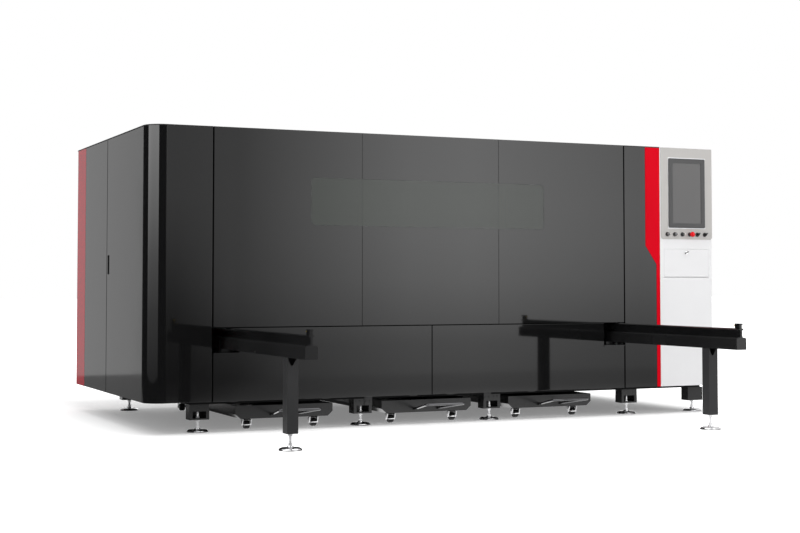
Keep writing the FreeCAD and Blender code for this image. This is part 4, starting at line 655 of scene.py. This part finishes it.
LATCH_CAM = ((-7, 9.5, -7), (7, 12.5, 20))
LATCH_X, LATCH_Z = 4337.5, 1258.0
LATCH_TURN = -28.0
RIM_WIDTH, RIM_DEPTH = 5.0, 1.2

# The collar rings and button caps take the grey cap metal, which also stands in for the buttons' glint.
collars = Form(M["control_black"], M["cap_metal_glint"])
for cx in CONTROL_X:
    collars.lathe(COLLAR_PROFILE, (cx, 0, CONTROL_Z), "y", 48, 0)
    collars.lathe(COLLAR_RING_PROFILE, (cx, 0, CONTROL_Z), "y", 48, 1)
collars.piece("control_collars", "machine", ["control_bezels"])

for side, cx in (("left", CONTROL_X[0]), ("right", CONTROL_X[1])):
    button = Form(M["cap_metal_glint"])
    button.lathe(CAP_PROFILE, (cx, 0, CONTROL_Z), "y", 48)
    button.piece("button_cap_" + side, "button_" + side, ["push_button_" + side])

stop = Form(M["stop_red"], M["control_black"])
stop_at = (CONTROL_X[3], 0, CONTROL_Z)
stop.lathe(MUSHROOM_PROFILE, stop_at, "y", 64, 0)
stop.lathe(NECK_PROFILE, stop_at, "y", 48, 0)
stop.lathe(STEM_PROFILE, stop_at, "y", 48, 1)
stop.piece("stop_mushroom", "stop_button", ["emergency_stop"])

key = Form(M["key_metal"], M["control_black"])
kx = CONTROL_X[2]
key.lathe(LOCK_PROFILE, (kx, 0, CONTROL_Z), "y", 40, 1)
key.block(*about_y(KEY_BLADE, kx, CONTROL_Z), 0, 0.4)
bow = [(kx - KEY_HALF_T, y, CONTROL_Z + dz) for y, dz in KEY_BOW_OUTLINE]
key.prism(bow, (2.0 * KEY_HALF_T, 0, 0), 0, 0.5)
key.piece("key_in_lock", "key", ["key_switch"])

for tag, side, cx in (("a", "left", CONTROL_X[4]), ("b", "right", CONTROL_X[5])):
    knob = Form(M["control_black"], M["console_white"])
    turn = ((cx, 0, CONTROL_Z), "y", KNOB_TURN)
    knob.lathe(KNOB_PROFILE, (cx, 0, CONTROL_Z), "y", 48, 0)
    knob.block(*about_y(KNOB_GRIP, cx, CONTROL_Z), 0, 2.0, 3, turn)
    knob.block(*about_y(KNOB_MARK, cx, CONTROL_Z), 1, 0.2, 1, turn)
    knob.piece("selector_knob_" + tag, "selector_" + tag, ["selector_" + side])

latch = Form(M["chrome"], M["control_black"])
latch_at = (LATCH_X, 0, LATCH_Z)
latch.lathe(BARREL_PROFILE, latch_at, "y", 48, 0)
latch.prism(about_y(LATCH_WING, LATCH_X, LATCH_Z), (0, 0, 6.4), 1, 1.4, 2, (latch_at, "y", LATCH_TURN))
latch.block(*about_y(LATCH_CAM, LATCH_X, LATCH_Z), 0, 0.5)
latch.piece("latch_wing", "latch", ["flap_latch"])


def rim_corners(low, high, grow):
    return [(low.x - grow, low.z - grow), (high.x + grow, low.z - grow),
            (high.x + grow, high.z + grow), (low.x - grow, high.z + grow)]


# Painted highlight: a light aluminium rim just outside the display bezel stands in for the highlight along
# the bezel's edge.
rim = Form(M["head_alu"])
bezel = mm("display_bezel")
outer, inner = rim_corners(*bezel, RIM_WIDTH), rim_corners(*bezel, 0.0)
face_y = mm("console_face_plate")[0].y
for i in range(4):
    j = (i + 1) % 4
    strip = [(x, face_y, z) for x, z in (outer[i], outer[j], inner[j], inner[i])]
    rim.prism(strip, (0, -RIM_DEPTH, 0), 0, 0.5, 2)
rim.piece("display_rim", "machine")

# ------------------------------------------------------------------ keyboard
KEY_PITCH = 24.6
KEY_MARGIN = 9.0
KEY_GAP = 0.9
KEY_ROWS = (                                 # widths of the keys, from the flap's hinge up
    [1.0] * 14,
    [1.5] + [1.0] * 11 + [1.5],
    [1.75] + [1.0] * 10 + [2.25],
    [2.25] + [1.0] * 9 + [2.75],
    [1.25, 1.25, 1.25, 6.5, 1.25, 1.25, 1.25],
)
board = Form(M["keyboard_black"], M["key_caps"])
low, high = mm("keyboard")
board.block((low.x, low.y, low.z), (high.x, high.y - 6.0, high.z), 0, 2.5, 3)
for row, widths in enumerate(KEY_ROWS):
    x = low.x + KEY_MARGIN
    z = low.z + KEY_MARGIN + KEY_PITCH * row
    unit = (high.x - low.x - 2.0 * KEY_MARGIN) / sum(widths)
    for width in widths:
        board.block((x + KEY_GAP, high.y - 6.5, z + KEY_GAP),
                    (x + unit * width - KEY_GAP, high.y - 0.4, z + KEY_PITCH - 2.9), 1, 1.3, 2)
        x += unit * width
board.piece("keyboard_keys", "flap", ["keyboard"])

# ------------------------------------------------------------------ table wheels and rail stops
AXLE_Z = 756.1
WHEEL_Y = (440.0, 1110.0, 1780.0)
BUFFER_Z = 729.0
TABLE_WHEEL_PROFILE = ((0, -27), (14, -27), (15, -26), (15, -21), (34, -21), (36, -25), (50.5, -25),
                       (52, -24), (52, -21.2), (50.5, -20), (46.5, -19.6), (45, -18), (44.9, 0), (45, 18),
                       (46.5, 19.6), (50.5, 20), (52, 21.2), (52, 24), (50.5, 25), (36, 25), (34, 21),
                       (15, 21), (15, 26), (14, 27), (0, 27))
SPACER_PROFILE = ((0, 20), (12, 20), (12, 27.9), (0, 27.9))
BUFFER_PROFILE = ((0, -1436), (7.6, -1436), (9.2, -1437.5), (9.5, -1440), (9.5, -1446), (0, -1446))

running = Form(M["wheel_steel"], M["zinc"])
for wx, inward in zip(BEAM_X, (1.0, -1.0)):
    for wy in WHEEL_Y:
        running.lathe(TABLE_WHEEL_PROFILE, (wx, wy, AXLE_Z), "x", 72, 0)
        running.lathe(facing(SPACER_PROFILE, inward), (wx, wy, AXLE_Z), "x", 32, 1)
        running.hexagon(10.0, (wx - inward * 24.0, wy, AXLE_Z), "x", -inward * 3.0, 1)
running.piece("table_wheels_turned", "table", ["table_wheels"])

buffers = Form(M["buffer_yellow"])
for bx in BEAM_X:
    buffers.lathe(BUFFER_PROFILE, (bx, 0, BUFFER_Z), "y", 32)
buffers.piece("rail_buffers", "machine")

# ------------------------------------------------------------------ cutting head
HEAD_X, HEAD_Y = 3250.4, 560.0
PLATE_X = 3295.4
HEAD_BLOCKS = (                              # low corner, high corner, material, edge, steps
    ((3205.4, 520, 1097), (3296, 600, 1185), 0, 6.0, 4),
    ((3205.4, 520, 1035), (3296, 600, 1094.5), 0, 6.0, 4),
    ((3208, 523, 1093), (3296, 597, 1098), 2, 1.0, 2),
    ((3204.9, 536, 1050), (3206, 584, 1080), 2, 0.4, 2),
)
PLATE_SCREW_Y = (516.0, 604.0)
PLATE_SCREW_Z = (1028.0, 1120.0, 1220.0, 1312.0)
PLATE_SCREW_PROFILE = ((0, 0), (5.5, 0), (5.5, 3.5), (4.8, 4.2), (2.6, 4.2), (2.4, 2.4), (0, 2.4))
BODY_PROFILE = ((0, 1035.5), (34, 1035.5), (36.5, 1033), (36.5, 1006), (35, 1004.5), (35, 1001.5),
                (36.5, 1000), (36.5, 957), (35, 953), (26.5, 951), (25.5, 930), (23.5, 916), (22, 911),
                (13, 909), (12.5, 905))
NOZZLE_PROFILE = ((12.5, 905.5), (11.5, 904), (11.5, 899), (4, 887.2), (2.4, 886), (1.1, 886), (1.1, 890),
                  (0, 890))
FIBRE_PROFILE = ((0, 1184), (26, 1184), (27, 1187), (27, 1193), (22, 1196), (20.5, 1200), (20.5, 1238),
                 (23, 1241), (24, 1244), (24, 1253), (22, 1255), (0, 1255))

head = Form(M["head_alu"], M["nozzle_copper"], M["control_black"])
head.block((PLATE_X, 505, 1015), (3313.4, 615, 1325), 0, 1.5)
for sy in PLATE_SCREW_Y:
    for sz in PLATE_SCREW_Z:
        head.lathe(PLATE_SCREW_PROFILE, (PLATE_X, sy, sz), (-1, 0, 0), 24, 2)
for block in HEAD_BLOCKS:
    head.block(*block)
for profile, segments, mat in ((BODY_PROFILE, 64, 0), (NOZZLE_PROFILE, 48, 1), (FIBRE_PROFILE, 48, 0)):
    head.lathe(profile, (HEAD_X, HEAD_Y, 0), "z", segments, mat)
head.piece("cutting_head_assembly", "head", ["cutting_head"])

# ------------------------------------------------------------------ gantry drives and bolts
MOTOR_X, MOTOR_Y = 3635.0, (268.0, 1939.0)
MOTOR_PROFILE = ((0, 1070), (44, 1070), (44.5, 1072), (44.5, 1200), (42, 1202), (42, 1206), (44.5, 1208),
                 (44.5, 1292), (40, 1299.5), (0, 1300.5))
GANTRY_X = (3370.0, 3590.0)
GANTRY_Z = (1125.0, 1315.0)
GANTRY_ENDS = ((104.0, -1.0), (2103.0, 1.0))     # y of each end face and the way it faces
BOLT_INSET = 24.0
WASHER_PROFILE = ((0, 0), (12, 0), (12, 1.6), (0, 1.6))
BOLT_PROFILE = ((0, 1.6), (8, 1.6), (8, 6.6), (7.2, 7.6), (4.2, 7.6), (4, 4), (0, 4))
RUNNER_X = (3415.0, 3545.0)
RUNNER_Z = 1098.0
RUNNER_FACES = ((FOOT_Y[0] - 32.0, -1.0), (FOOT_Y[1] + 32.0, 1.0))    # the same for the runners
RUNNER_SCREW_X = (-26.0, 26.0)
RUNNER_SCREW_PROFILE = ((0, 0), (5, 0), (5, 2.4), (4.4, 3), (2.4, 3), (2.2, 1.4), (0, 1.4))

drives = Form(M["motor_black"])
for my in MOTOR_Y:
    drives.lathe(MOTOR_PROFILE, (MOTOR_X, my, 0), "z", 56)
drives.piece("gantry_motors", "gantry")

fittings = Form(M["key_metal"], M["control_black"])
for end_y, out in GANTRY_ENDS:
    for bx in (GANTRY_X[0] + BOLT_INSET, GANTRY_X[1] - BOLT_INSET):
        for bz in (GANTRY_Z[0] + BOLT_INSET, GANTRY_Z[1] - BOLT_INSET):
            fittings.lathe(facing(WASHER_PROFILE, out), (bx, end_y, bz), "y", 32, 0)
            fittings.lathe(facing(BOLT_PROFILE, out), (bx, end_y, bz), "y", 32, 1)
for wall_y, out in RUNNER_FACES:
    for rx in RUNNER_X:
        for dx in RUNNER_SCREW_X:
            fittings.lathe(facing(RUNNER_SCREW_PROFILE, out), (rx + dx, wall_y, RUNNER_Z), "y", 24, 1)
fittings.piece("gantry_fittings", "gantry")

# ------------------------------------------------------------------ camera
CAMERA_PLACE = (-4.7845, -9.8715, 1.007)
CAMERA_RISE = 2.393                          # degrees above level
CAMERA_TURN = -24.505                        # degrees from straight ahead, to the right
cam_data = bpy.data.cameras.new("camera")
cam_data.lens = 65.475
cam_data.sensor_width = 36.0
cam_data.shift_y = -0.0535
cam_data.clip_end = 300.0
cam = in_scene("camera", cam_data)
cam.location = CAMERA_PLACE
cam.rotation_euler = (math.radians(90.0 + CAMERA_RISE), 0.0, math.radians(CAMERA_TURN))
bpy.context.scene.camera = cam


# ------------------------------------------------------------------ world and floor
WORLD_LIGHT = 0.62                           # the world's strength as light, where it is seen as 1
FLOOR_COLOUR = (0.86, 0.86, 0.86, 1)
FLOOR_HALF = 90.0
FLOOR_DROP = 0.0005
SHADE = 0.22                                 # the floor's glow close to the machine, where far away it is 1
SIDE_FADE = (2.1, 3.1)                       # |x| over which the glow comes back
FRONT_FADE = (-0.25, -0.95)
BACK_FADE = (2.6, 5.0)


def either(nt, a, b):
    return calc(nt, "MAXIMUM", a, b)


def looked_at(nt):
    """1 for rays from the camera and for those that gloss and glass send on, 0 for light."""
    rays = nt.nodes.new("ShaderNodeLightPath").outputs
    return either(nt, either(nt, rays["Is Camera Ray"], rays["Is Glossy Ray"]), rays["Is Transmission Ray"])


def background(nt, strength):
    n = nt.nodes.new("ShaderNodeBackground")
    n.inputs[0].default_value = WHITE
    n.inputs[1].default_value = strength
    return n.outputs[0]


def glow(nt, strength):
    n = nt.nodes.new("ShaderNodeEmission")
    n.inputs[0].default_value = WHITE
    nt.links.new(strength, n.inputs[1])
    return n.outputs[0]


def join(nt, kind, *inputs):
    n = nt.nodes.new(kind)
    for socket, value in zip(n.inputs, inputs):
        nt.links.new(value, socket)
    return n.outputs[0]


world = bpy.data.worlds.new("studio")
bpy.context.scene.world = world
world.use_nodes = True
wn = world.node_tree
wn.nodes.clear()
sky = join(wn, "ShaderNodeMixShader", looked_at(wn), background(wn, WORLD_LIGHT), background(wn, 1.0))
wn.links.new(sky, wn.nodes.new("ShaderNodeOutputWorld").inputs[0])

floor_mesh = bpy.data.meshes.new("floor")
floor_mesh.from_pydata([(-FLOOR_HALF, -FLOOR_HALF, 0), (FLOOR_HALF, -FLOOR_HALF, 0),
                        (FLOOR_HALF, FLOOR_HALF, 0), (-FLOOR_HALF, FLOOR_HALF, 0)], [], [(0, 1, 2, 3)])
floor = in_scene("floor", floor_mesh)
floor.location = (0, 0, -FLOOR_DROP)
fm, fnt, fb = new_material("studio_floor")
fb.inputs["Base Color"].default_value = FLOOR_COLOUR
fb.inputs["Roughness"].default_value = 0.9
fb.inputs["Specular IOR Level"].default_value = 0.0
floor_out = fb.outputs[0].links[0].to_socket
spot = xyz(fnt, fnt.nodes.new("ShaderNodeNewGeometry").outputs["Position"])
far = either(fnt, remap(fnt, calc(fnt, "ABSOLUTE", spot["X"]), SHADE, 1.0, SIDE_FADE),
             remap(fnt, spot["Y"], SHADE, 1.0, FRONT_FADE))
far = either(fnt, far, remap(fnt, spot["Y"], SHADE, 1.0, BACK_FADE))
floor_glow = glow(fnt, calc(fnt, "MULTIPLY", looked_at(fnt), far))
fnt.links.new(join(fnt, "ShaderNodeAddShader", fb.outputs[0], floor_glow), floor_out)
floor_mesh.materials.append(fm)


# ------------------------------------------------------------------ lamps
def softbox(name, place, target, width, height, power, mirrored=True):
    d = bpy.data.lights.new(name, "AREA")
    d.shape = "RECTANGLE"
    d.size = width
    d.size_y = height
    d.energy = power
    o = in_scene(name, d)
    o.location = place
    o.rotation_euler = (Vector(target) - Vector(place)).to_track_quat("-Z", "Y").to_euler()
    o.visible_camera = False
    o.visible_glossy = mirrored


softbox("top", (0.0, -1.0, 7.5), (0, 0.2, 0), 9.0, 7.0, 330.0)
softbox("front_right", (8.0, -10.0, 4.0), (1.0, 0.0, 1.0), 7.0, 6.0, 285.0, mirrored=False)
softbox("front_left", (-10.0, -7.0, 3.0), (-1.5, 0.0, 1.0), 4.0, 5.0, 120.0, mirrored=False)
softbox("back", (0.0, 12.5, 4.0), (0.0, 1.5, 1.0), 8.0, 5.0, 240.0)


# ------------------------------------------------------------------ cards that only reflections see
def curve(nt, value, stops):
    """Straight lines through (value, strength) stops."""
    first, last = stops[0], stops[-1]
    reach = last[0] - first[0]
    unit = remap(nt, value, 0.0, 1.0, (first[0], last[0]))
    peak = max(strength for _, strength in stops)
    n = nt.nodes.new("ShaderNodeFloatCurve")
    points = n.mapping.curves[0].points
    points[0].location = (0.0, first[1] / peak)
    points[1].location = (1.0, last[1] / peak)
    for at, strength in stops[1:-1]:
        points.new((at - first[0]) / reach, strength / peak)
    for point in points:
        point.handle_type = "VECTOR"
    n.mapping.update()
    nt.links.new(unit, n.inputs["Value"])
    return calc(nt, "MULTIPLY", n.outputs[0], peak)


def card(name, corners, start, along, rise, ramps, gains):
    """A glowing card. ramps are (distance along the card, (rise, strength) stops), each fading into the next,
    and gains are (distance, factor) stops. The cards light nothing."""
    me = bpy.data.meshes.new(name)
    me.from_pydata(corners, [], [(0, 1, 2, 3)])
    o = in_scene(name, me)
    m, nt, out = blank_material(name)
    place = nt.nodes.new("ShaderNodeNewGeometry").outputs["Position"]
    height = xyz(nt, place)[rise]
    shift = nt.nodes.new("ShaderNodeVectorMath")
    shift.operation = "SUBTRACT"
    shift.inputs[1].default_value = start
    nt.links.new(place, shift.inputs[0])
    dot = nt.nodes.new("ShaderNodeVectorMath")
    dot.operation = "DOT_PRODUCT"
    dot.inputs[1].default_value = along
    nt.links.new(shift.outputs[0], dot.inputs[0])
    distance = dot.outputs["Value"]
    level = curve(nt, height, ramps[0][1])
    for (begin, _), (end, stops) in zip(ramps, ramps[1:]):
        level = mix(nt, "FLOAT", remap(nt, distance, 0.0, 1.0, (begin, end)), level, curve(nt, height, stops))
    if gains:
        level = calc(nt, "MULTIPLY", level, curve(nt, distance, gains))
    nt.links.new(glow(nt, level), out.inputs[0])
    me.materials.append(m)
    o.visible_camera = False
    o.visible_diffuse = False
    o.visible_shadow = False
    o.visible_transmission = False


def reflector(name, a, b, ramps, gains=None):
    """An upright card between two floor points. Its ramps run with z."""
    corners = [(*a, CARD_LOW), (*b, CARD_LOW), (*b, CARD_HIGH), (*a, CARD_HIGH)]
    start, end = Vector((*a, 0)), Vector((*b, 0))
    card(name, corners, start, (end - start).normalized(), "Z", ramps, gains)


def ground(name, low, high, ramps, gains=None):
    """The same kind of card lying on the floor. Its ramps run with y."""
    corners = [(x, y, GROUND_Z) for x, y in (low, (high[0], low[1]), high, (low[0], high[1]))]
    card(name, corners, Vector((*low, 0)), Vector((1, 0.5, 0)), "Y", ramps, gains)


def even(bottom, low_strength, top, high_strength):
    """One ramp for the whole card."""
    return ((0.0, ((bottom, low_strength), (top, high_strength))),)


CARD_LOW, CARD_HIGH = 0.002, 6.0
GROUND_Z = 0.003
CARD_Y = -5.8                                # where the front cards stand
LEFT, CORNER, MIDDLE, RIGHT = (-9.0, 1.2), (-5.3, CARD_Y), (-0.85, CARD_Y), (14.0, CARD_Y)
SIDE_X = -2.35                               # just outside the machine's left side
FRONT_Y = 0.1                                # where the front ground card ends
BACK_Y = 6.2                                 # where the back card stands
UNDER_END_Y = 1.9
BACK_LEFT, BACK = (-4.05, BACK_Y), (0.0, BACK_Y)
GROUND_START = 8.15                          # from the left end of ground_front to the start of card_front
FRONT_GAIN = ((0.0, 0.97), (1.0, 0.97), (1.45, 1.4), (2.2, 2.15), (3.0, 2.9), (3.8, 3.15), (4.3, 2.95),
              (5.3, 2.5), (6.1, 2.15), (14.85, 2.1))
FRONT_RAMPS = (
    (0.28, ((CARD_LOW, 0.05), (0.4, 0.11), (0.73, 0.21), (1.07, 0.38), (1.5, 0.61), (1.95, 0.80),
            (CARD_HIGH, 0.95))),
    (0.90, ((CARD_LOW, 0.16), (0.4, 0.40), (0.73, 0.65), (1.07, 0.84), (1.5, 0.93), (1.95, 0.97),
            (CARD_HIGH, 1.0))),
    (1.45, ((CARD_LOW, 0.40), (0.35, 0.47), (0.62, 0.62), (1.06, 0.83), (1.5, 0.95), (1.95, 1.0),
            (CARD_HIGH, 0.88))),
)
LEFT_RAMP = ((0.0, ((CARD_LOW, 0.25), (0.7, 0.7), (1.3, 1.5), (1.9, 2.9), (2.6, 4.3), (CARD_HIGH, 4.8))),)
GROUND_RAMPS = (
    (6.4, ((CARD_Y, 0.02), (FRONT_Y, 0.04))),
    (8.43, ((CARD_Y, 0.05), (-3.6, 0.05), (-2.4, 0.22), (FRONT_Y, 0.35))),
    (9.05, ((CARD_Y, 0.16), (-3.6, 0.14), (-2.4, 0.30), (FRONT_Y, 0.42))),
    (9.60, ((CARD_Y, 0.38), (-5.3, 0.32), (-3.6, 0.29), (-2.4, 0.42), (FRONT_Y, 0.48))),
)
DARK = even(CARD_LOW, 0.02, CARD_HIGH, 0.04)
reflector("card_front", MIDDLE, RIGHT, FRONT_RAMPS, FRONT_GAIN)
reflector("card_front_dark", CORNER, MIDDLE, DARK)
reflector("card_left_glow", LEFT, CORNER, LEFT_RAMP)
reflector("card_left_dark", BACK_LEFT, LEFT, DARK)
reflector("card_back_left", BACK_LEFT, BACK, even(CARD_LOW, 0.56, CARD_HIGH, 0.6))
ground("ground_front", (LEFT[0], CARD_Y), (RIGHT[0], FRONT_Y), GROUND_RAMPS,
       [(GROUND_START + d, gain) for d, gain in FRONT_GAIN])
ground("ground_left_dark", (LEFT[0], FRONT_Y), BACK_LEFT, even(FRONT_Y, 0.02, BACK_Y, 0.03))
ground("ground_left", (BACK_LEFT[0], FRONT_Y), (SIDE_X, BACK_Y), even(FRONT_Y, 0.20, BACK_Y, 0.24))
ground("ground_under", (SIDE_X, FRONT_Y), (-SIDE_X, UNDER_END_Y), even(FRONT_Y, 0.03, UNDER_END_Y, 0.03))

bpy.context.scene.view_settings.view_transform = "Standard"
